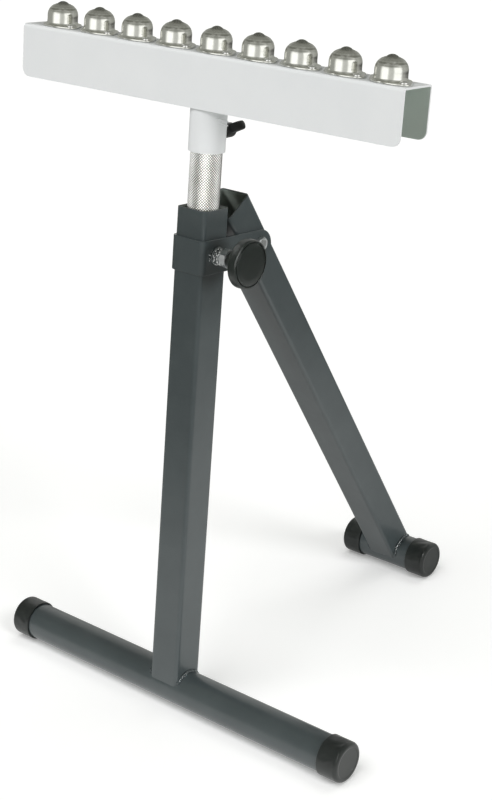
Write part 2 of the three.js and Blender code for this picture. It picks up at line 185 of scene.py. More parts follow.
def paint_dark(name="dark_enamel", low=(0.040, 0.050, 0.053), high=(0.052, 0.064, 0.067), top=(0.072, 0.084, 0.087), r0=0.29, r1=0.34):
    m, nt, p, at = new_material(name)
    broad = noise(nt, at, 22, 4, 0.6)
    col = ramp(nt, broad, [(0.30, low), (0.70, high)])
    grain = noise(nt, at, 2600, 1, 0.5)
    col = blend_colour(nt, span(nt, grain, 0.35, 0.75, 0.0, 0.30), col, top)
    nt.links.new(col, p.inputs["Base Color"])
    nt.links.new(span(nt, noise(nt, at, 60, 2, 0.5), 0.3, 0.7, r0, r1), p.inputs["Roughness"])
    p.inputs["Specular IOR Level"].default_value = 0.55
    p.inputs["Coat Weight"].default_value = 0.25
    p.inputs["Coat Roughness"].default_value = 0.16
    bump(nt, p, [(grain, 0.10, 0.05), (noise(nt, at, 520, 2, 0.5), 0.10, 0.12)])
    return m


def paint_light(name="light_grey_enamel", low=(0.788, 0.803, 0.820), high=(0.818, 0.830, 0.846), top=(0.85, 0.86, 0.875)):
    m, nt, p, at = new_material(name)
    broad = noise(nt, at, 18, 4, 0.6)
    col = ramp(nt, broad, [(0.30, low), (0.70, high)])
    grain = noise(nt, at, 2400, 1, 0.5)
    col = blend_colour(nt, span(nt, grain, 0.4, 0.8, 0.0, 0.35), col, top)
    nt.links.new(col, p.inputs["Base Color"])
    nt.links.new(span(nt, noise(nt, at, 50, 4, 0.6), 0.3, 0.7, 0.34, 0.46), p.inputs["Roughness"])
    p.inputs["Specular IOR Level"].default_value = 0.45
    bump(nt, p, [(grain, 0.08, 0.05), (noise(nt, at, 480, 2, 0.5), 0.10, 0.12)])
    return m


def plated():
    m, nt, p, at = new_material("bright_plated_steel")
    cloud = noise(nt, at, 90, 4, 0.6)
    col = ramp(nt, cloud, [(0.25, (0.78, 0.78, 0.735)), (0.75, (0.88, 0.88, 0.84))])
    parts = nt.nodes.new("ShaderNodeSeparateXYZ")
    nt.links.new(at, parts.inputs[0])
    flat = nt.nodes.new("ShaderNodeVectorMath")
    flat.operation = "MULTIPLY"
    flat.inputs[1].default_value = (1.0, 1.0, 0.0)
    nt.links.new(at, flat.inputs[0])
    away = nt.nodes.new("ShaderNodeVectorMath")
    away.operation = "LENGTH"
    nt.links.new(flat.outputs["Vector"], away.inputs[0])
    ringed = nt.nodes.new("ShaderNodeCombineXYZ")
    nt.links.new(away.outputs["Value"], ringed.inputs["X"])
    nt.links.new(parts.outputs["Z"], ringed.inputs["Z"])
    rings = nt.nodes.new("ShaderNodeMath")
    rings.operation = "MULTIPLY"
    nt.links.new(span(nt, noise(nt, ringed.outputs["Vector"], 620, 2, 0.6), 0.42, 0.62, 0.0, 0.85), rings.inputs[0])
    nt.links.new(span(nt, parts.outputs["Z"], 0.0135, 0.0175, 0.0, 1.0), rings.inputs[1])
    col = blend_colour(nt, rings.outputs[0], col, (0.40, 0.40, 0.355))
    nt.links.new(col, p.inputs["Base Color"])
    p.inputs["Metallic"].default_value = 1.0
    nt.links.new(span(nt, noise(nt, at, 260, 4, 0.65), 0.3, 0.7, 0.10, 0.21), p.inputs["Roughness"])
    draw = noise(nt, at, 900, 2, 0.5, stretch=(1, 1, 0.08))
    bump(nt, p, [(draw, 0.05, 0.05), (noise(nt, at, 150, 2, 0.5), 0.10, 0.25)])
    return m


def knurled():
    m, nt, p, at = new_material("knurled_plated_steel")
    flat = nt.nodes.new("ShaderNodeVectorMath")
    flat.operation = "MULTIPLY"
    flat.inputs[1].default_value = (1.0, 1.0, 0.0)
    nt.links.new(at, flat.inputs[0])
    away = nt.nodes.new("ShaderNodeVectorMath")
    away.operation = "LENGTH"
    nt.links.new(flat.outputs["Vector"], away.inputs[0])
    # base colour follows the radius, near-black in the knurl's hollows and near-white on its crests: painted shade in
    # the hollows and painted highlight on the crests
    crest = span(nt, away.outputs["Value"], (MAST_R - 0.077) * MM, (MAST_R + 0.077) * MM, 0.0, 1.0)
    col = ramp(nt, crest, [(0.0, (0.075, 0.075, 0.062)), (0.38, (0.47, 0.47, 0.445)), (0.68, (0.985, 0.985, 0.995))])
    cloud = noise(nt, at, 55, 4, 0.6)
    col = blend_colour(nt, span(nt, cloud, 0.35, 0.75, 0.0, 0.20), col, (0.80, 0.80, 0.785))
    nt.links.new(col, p.inputs["Base Color"])
    p.inputs["Metallic"].default_value = 1.0
    nt.links.new(span(nt, noise(nt, at, 700, 3, 0.6), 0.3, 0.7, 0.285, 0.33), p.inputs["Roughness"])
    bump(nt, p, [(noise(nt, at, 3000, 2, 0.5), 0.08, 0.04)])
    return m


def zinc(name="zinc_plated_steel", tint=(0.72, 0.74, 0.75), deep=(0.54, 0.56, 0.57), r0=0.24, r1=0.42):
    m, nt, p, at = new_material(name)
    v = nt.nodes.new("ShaderNodeTexVoronoi")
    v.inputs["Scale"].default_value = 420
    nt.links.new(at, v.inputs["Vector"])
    col = blend_colour(nt, span(nt, noise(nt, at, 300, 4, 0.6), 0.3, 0.7, 0.0, 1.0), deep, tint)
    nt.links.new(col, p.inputs["Base Color"])
    p.inputs["Metallic"].default_value = 1.0
    nt.links.new(span(nt, v.outputs["Distance"], 0.0, 0.6, r0, r1), p.inputs["Roughness"])
    bump(nt, p, [(noise(nt, at, 1400, 3, 0.6), 0.12, 0.06)])
    return m


def ball_steel():
    m, nt, p, at = new_material("polished_ball_steel")
    cloud = noise(nt, at, 160, 3, 0.6)
    col = ramp(nt, cloud, [(0.30, (0.26, 0.26, 0.235)), (0.70, (0.44, 0.44, 0.415))])
    nt.links.new(col, p.inputs["Base Color"])
    p.inputs["Metallic"].default_value = 1.0
    nt.links.new(span(nt, noise(nt, at, 900, 4, 0.7), 0.3, 0.75, 0.07, 0.19), p.inputs["Roughness"])
    bump(nt, p, [(noise(nt, at, 1600, 2, 0.6), 0.03, 0.03)])
    return m


def plastic(name="black_moulded_plastic", dark=(0.0130, 0.0152, 0.0146), light=(0.0205, 0.0238, 0.0228), r0=0.285, r1=0.34, grip=0.02):
    m, nt, p, at = new_material(name)
    broad = noise(nt, at, 60, 4, 0.6)
    col = ramp(nt, broad, [(0.30, dark), (0.72, light)])
    nt.links.new(col, p.inputs["Base Color"])
    nt.links.new(span(nt, noise(nt, at, 240, 4, 0.65), 0.3, 0.7, r0, r1), p.inputs["Roughness"])
    p.inputs["Specular IOR Level"].default_value = 0.5
    grain = noise(nt, at, 2200, 2, 0.5)
    bump(nt, p, [(grain, grip, 0.05), (noise(nt, at, 130, 2, 0.5), 0.06, 0.2)])
    return m


DARK = paint_dark()
# lighter copy of the dark paint for the tubes' bores: painted light inside the tubes
BORE = paint_dark("bore_painted_light_coat", (0.150, 0.170, 0.155), (0.190, 0.215, 0.195), (0.210, 0.230, 0.210))
LIGHT = paint_light()
# darker, greener copy of the light paint for the channel's inner faces: painted shade inside the channel
INSIDE = paint_light("channel_painted_shade_coat", (0.68, 0.75, 0.705), (0.72, 0.79, 0.745), (0.75, 0.82, 0.78))
BEAD = paint_dark("bead_enamel", (0.036, 0.045, 0.048), (0.048, 0.059, 0.062), (0.066, 0.077, 0.080), 0.12, 0.20)
PLATED = plated()
KNURL = knurled()
ZINC = zinc()
SCREW = zinc("bright_screw_steel", (0.92, 0.92, 0.91), (0.74, 0.74, 0.73), 0.10, 0.20)
RACE = zinc("race_steel", (0.50, 0.50, 0.49), (0.38, 0.38, 0.37))
BALL = ball_steel()
PLASTIC = plastic()
WING = plastic("wing_plastic", (0.0050, 0.0052, 0.0050), (0.0085, 0.0090, 0.0088), 0.42, 0.58)
KNOB = plastic("knob_plastic", (0.0095, 0.0125, 0.0112), (0.0155, 0.0195, 0.0178), 0.285, 0.32, 0.005)


# ------------------------------------------------------------------ mesh helpers
class Geo:
    """Vertices and faces in millimetres, gathered from several shells."""

    def __init__(self):
        self.v, self.f = [], []

    def add(self, part):
        verts, faces = part
        o = len(self.v)
        self.v += [tuple(map(float, p)) for p in verts]
        self.f += [tuple(o + i for i in q) for q in faces]
        return self


def moved(part, matrix):
    """matrix works on millimetres."""
    return [tuple(matrix @ Vector(p)) for p in part[0]], part[1]


def mm_shift(x, y, z):
    return Matrix.Translation((x, y, z))


def piece(name, part, place, body, material, replaces=(), sharp=32.0, flat=False):
    verts, faces = (part.v, part.f) if isinstance(part, Geo) else part
    me = bpy.data.meshes.new(name)
    me.from_pydata([(x * MM, y * MM, z * MM) for x, y, z in verts], [], faces)
    me.validate()
    bm = bmesh.new()
    bm.from_mesh(me)
    bmesh.ops.recalc_face_normals(bm, faces=bm.faces)
    bm.to_mesh(me)
    bm.free()
    me.update()
    if not flat:
        me.shade_smooth()
        me.set_sharp_from_angle(angle=rad(sharp))
    me.materials.append(material)
    ob = bpy.data.objects.new(name, me)
    bpy.context.scene.collection.objects.link(ob)
    ob.matrix_world = place
    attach(ob, body)
    if replaces:
        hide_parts(*replaces)
    return ob


def settle(ob):
    """Applies an object's modifiers to its mesh."""
    dg = bpy.context.evaluated_depsgraph_get()
    dg.update()
    made = bpy.data.meshes.new_from_object(ob.evaluated_get(dg))
    ob.modifiers.clear()
    old = ob.data
    ob.data = made
    made.name = ob.name
    bpy.data.meshes.remove(old)
    return ob


def bevelled(ob, width, segments=3, angle=40.0):
    b = ob.modifiers.new("edges", "BEVEL")
    b.width = width * MM
    b.segments = segments
    b.limit_method = "ANGLE"
    b.angle_limit = rad(angle)
    b.harden_normals = True
    b.use_clamp_overlap = True
    return settle(ob)


def put(u, v, s, axis):
    return {"z": (u, v, s), "x": (s, u, v), "y": (v, s, u)}[axis]


def revolve(profile, n, axis="z", closed=False, mod=None):
    verts, rings = [], []
    for k, (r, s) in enumerate(profile):
        if r < 1e-6:
            rings.append([len(verts)])
            verts.append(put(0, 0, s, axis))
            continue
        ring = []
        for i in range(n):
            t = 2 * math.pi * i / n
            rr, ss = (r, s) if mod is None else mod(t, k, r, s)
            ring.append(len(verts))
            verts.append(put(rr * math.cos(t), rr * math.sin(t), ss, axis))
        rings.append(ring)
    faces = []
    m = len(rings)
    for a, b in [(i, i + 1) for i in range(m - 1)] + ([(m - 1, 0)] if closed else []):
        A, B = rings[a], rings[b]
        if len(A) == 1 and len(B) == 1:
            continue
        for i in range(n):
            j = (i + 1) % n
            if len(A) == 1:
                faces.append((A[0], B[i], B[j]))
            elif len(B) == 1:
                faces.append((A[i], B[0], A[j]))
            else:
                faces.append((A[i], B[i], B[j], A[j]))
    return verts, faces


def fillet(points, closed=False):
    """A polyline of (x, y[, radius[, steps]]) with its corners rounded."""
    out, n = [], len(points)
    for i, q in enumerate(points):
        r = q[2] if len(q) > 2 else 0
        steps = q[3] if len(q) > 3 else 6
        if r <= 0 or (not closed and i in (0, n - 1)):
            out.append((q[0], q[1]))
            continue
        p = np.array(q[:2], float)
        a = np.array(points[(i - 1) % n][:2], float) - p
        b = np.array(points[(i + 1) % n][:2], float) - p
        a /= np.linalg.norm(a)
        b /= np.linalg.norm(b)
        ang = math.acos(float(np.clip(a @ b, -1, 1)))
        t = r / math.tan(ang / 2)
        mid = a + b
        c = p + mid / np.linalg.norm(mid) * (r / math.sin(ang / 2))
        v0, v1 = p + a * t - c, p + b * t - c
        th = math.atan2(v0[1], v0[0])
        d = math.atan2(v0[0] * v1[1] - v0[1] * v1[0], float(v0 @ v1))
        out += [(c[0] + r * math.cos(th + d * k / steps), c[1] + r * math.sin(th + d * k / steps)) for k in range(steps + 1)]
    return out


def curve(points, steps=5):
    """Smooth curve through an open row of points."""
    P = [np.array(p, float) for p in points]
    P = [2 * P[0] - P[1]] + P + [2 * P[-1] - P[-2]]
    out = []
    for i in range(1, len(P) - 2):
        p0, p1, p2, p3 = P[i - 1:i + 3]
        for k in range(steps):
            t = k / steps
            out.append(tuple(0.5 * (2 * p1 + (p2 - p0) * t + (2 * p0 - 5 * p1 + 4 * p2 - p3) * t * t + (3 * p1 - p0 - 3 * p2 + p3) * t ** 3)))
    return out + [tuple(P[-2])]


def loft(loops, closed=True):
    """Quads between loops of equally many points; closed joins the last loop to the first."""
    n = len(loops[0])
    verts = [p for loop in loops for p in loop]
    faces = []
    m = len(loops)
    for a in range(m if closed else m - 1):
        b = (a + 1) % m
        for i in range(n):
            j = (i + 1) % n
            faces.append((a * n + i, a * n + j, b * n + j, b * n + i))
    return verts, faces


def square_outline(size, corner, side=14, arc=8):
    """Counter-clockwise outline of a square with round corners; every call with the same counts matches point by point."""
    h, r = size / 2, corner
    out = []
    for k, (cx, cy) in enumerate(((h - r, h - r), (-h + r, h - r), (-h + r, -h + r), (h - r, -h + r))):
        a0 = k * math.pi / 2
        for i in range(arc + 1):
            a = a0 + i / arc * math.pi / 2
            out.append((cx + r * math.cos(a), cy + r * math.sin(a)))
        nx, ny = ((-h + r, h - r), (-h + r, -h + r), (h - r, -h + r), (h - r, h - r))[k]
        a1 = a0 + math.pi / 2
        p0 = (cx + r * math.cos(a1), cy + r * math.sin(a1))
        p1 = (nx + r * math.cos(a1), ny + r * math.sin(a1))
        for i in range(1, side):
            f = i / side
            out.append((p0[0] + (p1[0] - p0[0]) * f, p0[1] + (p1[1] - p0[1]) * f))
    return out


def inside(p, loop):
    x, y = p
    hit = False
    for (x0, y0), (x1, y1) in zip(loop, loop[1:] + loop[:1]):
        if (y0 > y) != (y1 > y) and x < (x1 - x0) * (y - y0) / (y1 - y0) + x0:
            hit = not hit
    return hit


def sheet(outline, holes, lines, fold, thick):
    """A folded plate: fold(u, v, depth) places a point of the flat pattern; depth 0 is the outer face."""
    pts, edges = [], []
    for loop in [outline] + holes:
        o = len(pts)
        pts += loop
        edges += [(o + i, o + (i + 1) % len(loop)) for i in range(len(loop))]
    for line in lines:
        o = len(pts)
        pts += line
        edges += [(o + i, o + i + 1) for i in range(len(line) - 1)]
    got = delaunay_2d_cdt([Vector(p) for p in pts], edges, [], 0, 1e-4)
    vs, fs = [tuple(p) for p in got[0]], got[2]
    keep = []
    for f in fs:
        c = (sum(vs[i][0] for i in f) / 3, sum(vs[i][1] for i in f) / 3)
        if inside(c, outline) and not any(inside(c, h) for h in holes):
            keep.append(tuple(f))
    n = len(vs)
    verts = [fold(u, v, 0.0) for u, v in vs] + [fold(u, v, thick) for u, v in vs]
    faces = list(keep) + [tuple(n + i for i in reversed(f)) for f in keep]
    count = {}
    for f in keep:
        for a, b in zip(f, f[1:] + f[:1]):
            count.setdefault((min(a, b), max(a, b)), []).append((a, b))
    for uses in count.values():
        if len(uses) == 1:
            a, b = uses[0]
            faces.append((b, a, n + a, n + b))
    return verts, faces


def circle(cx, cy, r, n=40):
    return [(cx + r * math.cos(2 * math.pi * i / n), cy + r * math.sin(2 * math.pi * i / n)) for i in range(n)]


def hexagon(flats, s0, s1, axis, bore=0.0, top=None, n=96):
    """Nut or bolt head with chamfered corners. top lists further (r, s) rings for what stands on its outer face."""
    c = flats / 2 * 0.965

    def mod(t, k, r, s):
        full = flats / 2 / math.cos(((t % (math.pi / 3)) - math.pi / 6))
        if k == mark:
            return full, s0 + (full - c) * 0.577
        if k == mark + 1:
            return full, s1 - (full - c) * 0.577
        return r, s

    prof = ([(bore + 0.5, s0 + 0.0)] if bore else [(0, s0)]) + [(c, s0)]
    mark = len(prof)
    prof += [(flats, s0), (flats, s1), (c, s1)]
    prof += list(top or [])
    if bore:
        prof += [(bore + 0.5, s1), (bore, s1 - 0.6), (bore, s0 + 0.6)]
    else:
        prof += [(0, prof[-1][1])]
    return revolve(prof, n, axis, closed=bool(bore), mod=mod)


def threaded(r, pitch, s0, s1, axis, n=28):
    steps = max(8, int((s1 - s0) / (pitch / 6)))
    depth = 0.55 * pitch
    prof = [(0, s0)] + [(r, s0 + (s1 - s0) * i / steps) for i in range(steps + 1)] + [(0, s1)]

    def mod(t, k, rr, s):
        f = (t / (2 * math.pi) - s / pitch) % 1.0
        tooth = abs(2 * f - 1)
        end = min(1.0, min(s - s0, s1 - s) / 1.2)
        return r - depth * tooth * end - (1 - end) * depth, s

    return revolve(prof, n, axis, mod=mod)


def bead(path, radius, seed, ripple=1.9, sides=12, squash=0.72, up=None):
    """Weld bead along a path of 3-D points, with overlapping ripples and tapered ends."""
    rng = random.Random(seed)
    P = [np.array(p, float) for p in path]
    seg = [np.linalg.norm(b - a) for a, b in zip(P, P[1:])]
    total = sum(seg)
    count = max(12, int(total / 0.35))
    verts, faces, rings = [], [], []
    jitter = [rng.uniform(-1, 1) for _ in range(int(total / ripple) + 4)]
    for k in range(count + 1):
        s = total * k / count
        d, i = s, 0
        while i < len(seg) - 1 and d > seg[i]:
            d -= seg[i]
            i += 1
        at = P[i] + (P[i + 1] - P[i]) * min(1.0, d / max(seg[i], 1e-9))
        i0, i1 = max(0, i - 1), min(len(P) - 1, i + 2)
        tan = P[i1] - P[i0]
        tan /= np.linalg.norm(tan)
        ref = np.array(up if up is not None else (0.31, 0.17, 0.93), float)
        n1 = np.cross(tan, ref)
        n1 /= np.linalg.norm(n1)
        n2 = np.cross(n1, tan)
        q = s / ripple
        wave = 1.0 - (q % 1.0)
        size = radius * (0.84 + 0.2 * wave + 0.10 * jitter[int(q)])
        taper = min(1.0, 0.25 + 1.1 * min(s, total - s) / (radius * 1.6))
        ring = []
        for j in range(sides):
            a = 2 * math.pi * j / sides
            ring.append(len(verts))
            verts.append(tuple(at + taper * size * (n1 * math.cos(a) + n2 * math.sin(a) * squash) + tan * 0.35 * radius * math.cos(a) ** 2 * wave))
        rings.append(ring)
    for a, b in zip(rings, rings[1:]):
        for i in range(sides):
            j = (i + 1) % sides
            faces.append((a[i], a[j], b[j], b[i]))
    faces.append(tuple(reversed(rings[0])))
    faces.append(tuple(rings[-1]))
    return verts, faces


def droplet(at, normal, r, n=10):
    """A flattened half-round blob of spatter on a surface."""
    z = Vector(normal).normalized()
    x = z.orthogonal().normalized()
    y = z.cross(x)
    prof = [(0, 0.72 * r), (0.45 * r, 0.62 * r), (0.82 * r, 0.36 * r), (r, 0.0), (0.9 * r, -0.3 * r), (0, -0.3 * r)]
    verts, faces = revolve(prof, n, "z")
    m = Matrix((x, y, z)).transposed()
    return [tuple(Vector(at) + m @ Vector(p)) for p in verts], faces


# ------------------------------------------------------------------ feet
def cap_profile():
    return fillet([
        (0, 0.35), (CAP_R - 6.2, 0.35, 2.0, 4), (CAP_R - 5.0, 0.0, 1.2, 4), (CAP_R, 0.0, 4.0, 10),
        (CAP_R, CAP_LEN, 0.9, 5), (TUBE_R + GAP, CAP_LEN, 0.5, 3), (TUBE_R + GAP, CAP_END, 0.8, 3), (0, CAP_END),
    ])


def sleeve_profile():
    """The cap's profile with its outer wall divided finely."""
    out = []
    for (r0, s0), (r1, s1) in zip(cap_profile(), cap_profile()[1:]):
        k = 14 if r0 > CAP_R - 0.05 and r1 > CAP_R - 0.05 and s1 - s0 > 10 else 1
        out += [(r0 + (r1 - r0) * j / k, s0 + (s1 - s0) * j / k) for j in range(k)]
    return out + [cap_profile()[-1]]


def foot(prefix, tube, left, right, half, place, body):
    th = half - CAP_END - GAP
    prof = [(TUBE_R - TUBE_WALL, -th), (TUBE_R, -th)]
    prof += [(TUBE_R, -th + 2 * th * i / 40) for i in range(1, 40)]
    prof += [(TUBE_R, th), (TUBE_R - TUBE_WALL, th)]
    piece(prefix + "_tube_skin", revolve(prof, 128, "x", closed=True), place, body, DARK, [tube])
    for sign, name, node, seed in ((-1, "_cap_left_skin", left, 1.7 * half), (1, "_cap_right_skin", right, 2.3 * half)):
        def dents(t, k, r, s):
            # the soft sleeve is slightly crumpled on its upper side; only its outer wall moves, inwards
            d = half - abs(s)
            if r < CAP_R - 0.3 or not 3.5 < d < CAP_LEN - 1.5:
                return r, s
            near = min(1.0, (d - 3.5) / 3.0, (CAP_LEN - 1.5 - d) / 3.0) * min(1.0, max(0.0, math.sin(t) + 0.45))
            wave = 0.5 + 0.25 * math.sin(5 * t + seed + 0.16 * d) + 0.25 * math.sin(11 * t - 0.9 * seed - 0.42 * d)
            return r - 0.55 * near * wave ** 2, s

        prof = [(r, sign * (half - s)) for r, s in sleeve_profile()]
        piece(prefix + name, revolve(prof, 160, "x", mod=dents), place, body, PLASTIC, [node])


foot("base", "base_tube", "base_cap_left", "base_cap_right", BASE_HALF, BASE_F, "stand_frame")
foot("rear", "rear_foot_tube", "rear_cap_left", "rear_cap_right", FOOT_HALF, FOOT_F, "rear_leg")


# ------------------------------------------------------------------ square tubes
def square_tube(size, wall, corner, low, high, y0=0.0):
    """Tube along Z with a saddle cut at its lower end; low gives the saddle's height for a point (x, y)."""
    def loop(inset, height):
        o = square_outline(size - 2 * inset, max(0.4, corner - inset))
        return [(x, y + y0, height(x, y) if callable(height) else height) for x, y in o]

    e = 0.35
    loops = [loop(0, low), loop(0, lambda x, y: low(x, y) + 14)]
    loops += [loop(0, low(0, 0) + 40 + (high - low(0, 0) - 60) * i / 10) for i in range(11)]
    loops += [loop(0, high - e), loop(0.12, high - 0.12), loop(e, high), loop(wall - e, high), loop(wall - 0.12, high - 0.12), loop(wall, high - e)]
    loops += [loop(wall, low(0, 0) + 40), loop(wall, low)]
    return loft(loops)


def saddle(offset):
    return lambda x, y: offset + math.sqrt(max(1.0, (TUBE_R + 0.15) ** 2 - y * y))


post = piece("post_skin", square_tube(POST, POST_WALL, POST_CORNER, saddle(0), POST_TOP), POST_F, "stand_frame", DARK, ["post_tube"])
leg = piece("rear_leg_skin", square_tube(LEG, LEG_WALL, POST_CORNER, saddle(-LEG_REACH), LEG_TOP, -LEG_OFFSET), LEG_F, "rear_leg", DARK, ["rear_leg_tube"])
for ob, size, wall, y0 in ((post, POST, POST_WALL, 0.0), (leg, LEG, LEG_WALL, -LEG_OFFSET)):
    ob.data.materials.append(BORE)
    for f in ob.data.polygons:                        # the bores get a lighter copy of the dark paint: painted light inside the tubes
        if max(abs(f.center.x), abs(f.center.y - y0 * MM)) < (size / 2 - wall + 0.05) * MM and abs(f.normal.z) < 0.5:
            f.material_index = 1


def foot_welds(size, y0, z0, seed):
    g = Geo()
    h = size / 2
    for k, side in enumerate((1, -1)):
        path = []
        for i in range(41):
            y = -h + 1.0 + (size - 2.0) * i / 40
            z = z0 + math.sqrt((TUBE_R + 0.2) ** 2 - y * y)
            inset = max(0.0, abs(y) - (h - POST_CORNER))
            x = h - POST_CORNER + math.sqrt(max(0.0, POST_CORNER ** 2 - inset ** 2))
            path.append((side * (x + 0.5), y + y0, z + 0.4))
        g.add(bead(path, 2.3, seed + k))
    return g


piece("post_welds", foot_welds(POST, 0, 0, 11), POST_F, "stand_frame", BEAD, sharp=60)
piece("rear_leg_welds", foot_welds(LEG, -LEG_OFFSET, -LEG_REACH, 31), LEG_F, "rear_leg", BEAD, sharp=60)


# ------------------------------------------------------------------ bracket
def bracket():
    i = POST / 2 + GAP
    o = i + BRACKET_T
    ro = POST_CORNER + GAP + BRACKET_T
    ear = EAR_END + o - ro            # straight run of one side, from the bend to the round end's centre
    front = 2 * (o - ro)
    bend = 8.0                        # width given to a bend in the flat pattern
    r = (BRACKET_HIGH - BRACKET_LOW) / 2
    u_side = ear + bend
    total = 2 * u_side + front

    def fold(u, v, d):
        # u = 0 at the centre of the left ear's round end, total at the right ear's
        if u <= ear:
            return (-o + d, EAR_END - u, v)
        if u < ear + bend:
            a = math.pi + (u - ear) / bend * math.pi / 2
            return (-o + ro + (ro - d) * math.cos(a), -o + ro + (ro - d) * math.sin(a), v)
        if u <= ear + bend + front:
            return (-o + ro + (u - ear - bend), -o + d, v)
        if u < ear + 2 * bend + front:
            a = 1.5 * math.pi + (u - ear - bend - front) / bend * math.pi / 2
            return (o - ro + (ro - d) * math.cos(a), -o + ro + (ro - d) * math.sin(a), v)
        return (o - d, -o + ro + (u - ear - 2 * bend - front), v)

    m = BRACKET_MID
    outline = []
    for k in range(25):
        a = math.pi / 2 + math.pi * k / 24
        outline.append((r * math.cos(a), m + r * math.sin(a)))
    for k in range(25):
        a = -math.pi / 2 + math.pi * k / 24
        outline.append((total + r * math.cos(a), m + r * math.sin(a)))
    back = EAR_END - PIVOT_Y
    holes = [circle(back, PIVOT_Z, 4.3), circle(total - back, PIVOT_Z, 4.3), circle(total - EAR_END, LOCK_Z, 5.3)]
    lines = []
    for start in (ear, ear + bend + front):
        for k in [-0.06] + [j / 8 for j in range(9)] + [1.06]:
            u = start + bend * k
            lines.append([(u, BRACKET_LOW), (u, BRACKET_HIGH)])
    return sheet(outline, holes, lines, fold, BRACKET_T)


bevelled(piece("bracket_skin", bracket(), POST_F, "stand_frame", DARK, ["leg_bracket"]), 0.45, 3)

FACE = POST / 2 + GAP + BRACKET_T       # outer face of the bracket's sides

# ------------------------------------------------------------------ height lock
LOCK_F = POST_F @ shift(0, 0, LOCK_Z)


def lock_nut():
    """Long nut: a round neck that is welded to the bracket, and a hexagon in front of it."""
    c, full = 17.0 / 2, 17.0 / 2 / math.cos(math.pi / 6)
    prof = [(5.7, FACE + 0.1), (NECK_R, FACE + 0.1), (NECK_R, FACE + 4), (NECK_R, NECK_OUT - 0.9), (NECK_R + 0.1, NECK_OUT - 0.3), (8.3, NECK_OUT),
            (full, NECK_OUT), (full, NUT_OUT), (8.1, NUT_OUT), (5.8, NUT_OUT), (5.2, NUT_OUT - 0.7), (5.2, FACE + 0.7)]

    def mod(t, k, r, s):
        if k in (6, 7):
            reach = c / math.cos((t % (math.pi / 3)) - math.pi / 6)
            slope = (reach - 8.2) * 0.6
            return reach, s + (slope if k == 6 else -slope)
        return r, s

    return revolve(prof, 144, "x", closed=True, mod=mod)


piece("lock_nut_skin", lock_nut(), LOCK_F @ turn(30, "X"), "stand_frame", ZINC, ["lock_weld_nut"], sharp=24)


def nut_weld():
    g = Geo()
    for x, r, thick, seed in ((FACE + 0.8, 7.7, 1.9, 7), (FACE + 3.6, 7.3, 1.5, 8), (FACE + 6.2, 7.1, 1.2, 9)):
        path = []
        for k in range(73):
            a = rad(100 + 360 * k / 72 + 31 * seed)
            path.append((x + 0.35 * math.sin(3 * a + seed), r * math.cos(a), r * math.sin(a)))
        g.add(bead(path, thick, seed, ripple=1.7, up=(1, 0, 0)))
    return g


def nut_spatter():
    rng = random.Random(5)
    g = Geo()
    for _ in range(58):
        a, x = rng.uniform(rad(95), rad(275)), FACE + rng.uniform(1.6, 8.4)
        r = 8.7 - 0.10 * (x - FACE) + rng.uniform(-0.1, 0.35)
        g.add(droplet((x, r * math.cos(a), r * math.sin(a)), (0.15, math.cos(a), math.sin(a)), rng.uniform(0.45, 1.05)))
    for _ in range(9):
        a, d = rng.uniform(rad(120), rad(200)), 9.6 + abs(rng.gauss(0, 0.9))
        g.add(droplet((FACE + 0.05, d * math.cos(a), d * math.sin(a)), (1, 0, 0), rng.uniform(0.3, 0.7)))
    return g


WELD = zinc("weld_metal", (0.22, 0.24, 0.245), (0.07, 0.078, 0.08))
SPATTER = zinc("spatter_metal", (0.90, 0.91, 0.91), (0.66, 0.68, 0.68), 0.12, 0.24)
piece("lock_nut_weld", nut_weld(), LOCK_F, "stand_frame", WELD, sharp=60)
piece("lock_nut_spatter", nut_spatter(), LOCK_F, "stand_frame", SPATTER, sharp=60)
lock_screw = Geo().add(threaded(5.0, 1.5, MAST_R + GAP, KNOB_FRONT - 9, "x"))
lock_screw.add(revolve(fillet([(4.6, NUT_OUT + 0.1), (9.5, NUT_OUT + 0.1, 0.2, 3), (9.5, NUT_OUT + 0.6, 0.2, 3), (4.6, NUT_OUT + 0.6)], closed=True), 72, "x", closed=True))
piece("lock_screw_skin", lock_screw, LOCK_F, "lock_handle", ZINC, ["lock_screw"], sharp=50)


def lock_knob():
    b, start, front = 5.2, NUT_OUT + 0.7, KNOB_FRONT
    prof = fillet([
        (0, front - 9 + GAP), (b, front - 9 + GAP), (b, start), (HUB_R, start, 0.8, 4),
        (HUB_R, KNOB_BACK - 4.6, 4.0, 8), (HUB_R + 5.5, KNOB_BACK - 0.9, 5.0, 6), (KNOB_R, KNOB_BACK, 2.4, 8),
        (KNOB_R, front - 0.9, 2.3, 8), (KNOB_R - 2.45, front - 0.9, 0.35, 3),
        (KNOB_R - 2.6, front - 2.4), (KNOB_R - 3.3, front - 2.4),
        (KNOB_R - 3.45, front - 0.95, 0.45, 4), (KNOB_R - 10, front - 0.2, 24.0, 6), (0, front),
    ])
    ribs = 96

    def mod(t, k, r, s):
        if r > KNOB_R - 1.2 and KNOB_BACK + 0.6 < s < front - 1.6:
            w = 0.5 + 0.5 * math.cos(ribs * t)
            return r - 0.07 * (1 - w), s
        return r, s

    return revolve(prof, ribs * 6, "x", mod=mod)


piece("lock_knob_skin", lock_knob(), LOCK_F, "lock_handle", KNOB, ["lock_knob"], sharp=38)

# ------------------------------------------------------------------ leg pivot
PIVOT_F = POST_F @ shift(0, PIVOT_Y, PIVOT_Z)


def pivot_bolt():
    g = Geo()
    s0 = FACE + 0.1
    g.add(hexagon(13.0, s0, s0 + 5.5, "x", top=[(5.6, s0 + 5.5), (5.0, s0 + 5.2)]))
    g.add(revolve(fillet([(0, s0 + 0.5), (4.0, s0 + 0.5), (4.0, -(FACE + 10.5), 0.8, 4), (0, -(FACE + 10.5))]), 40, "x"))
    return g


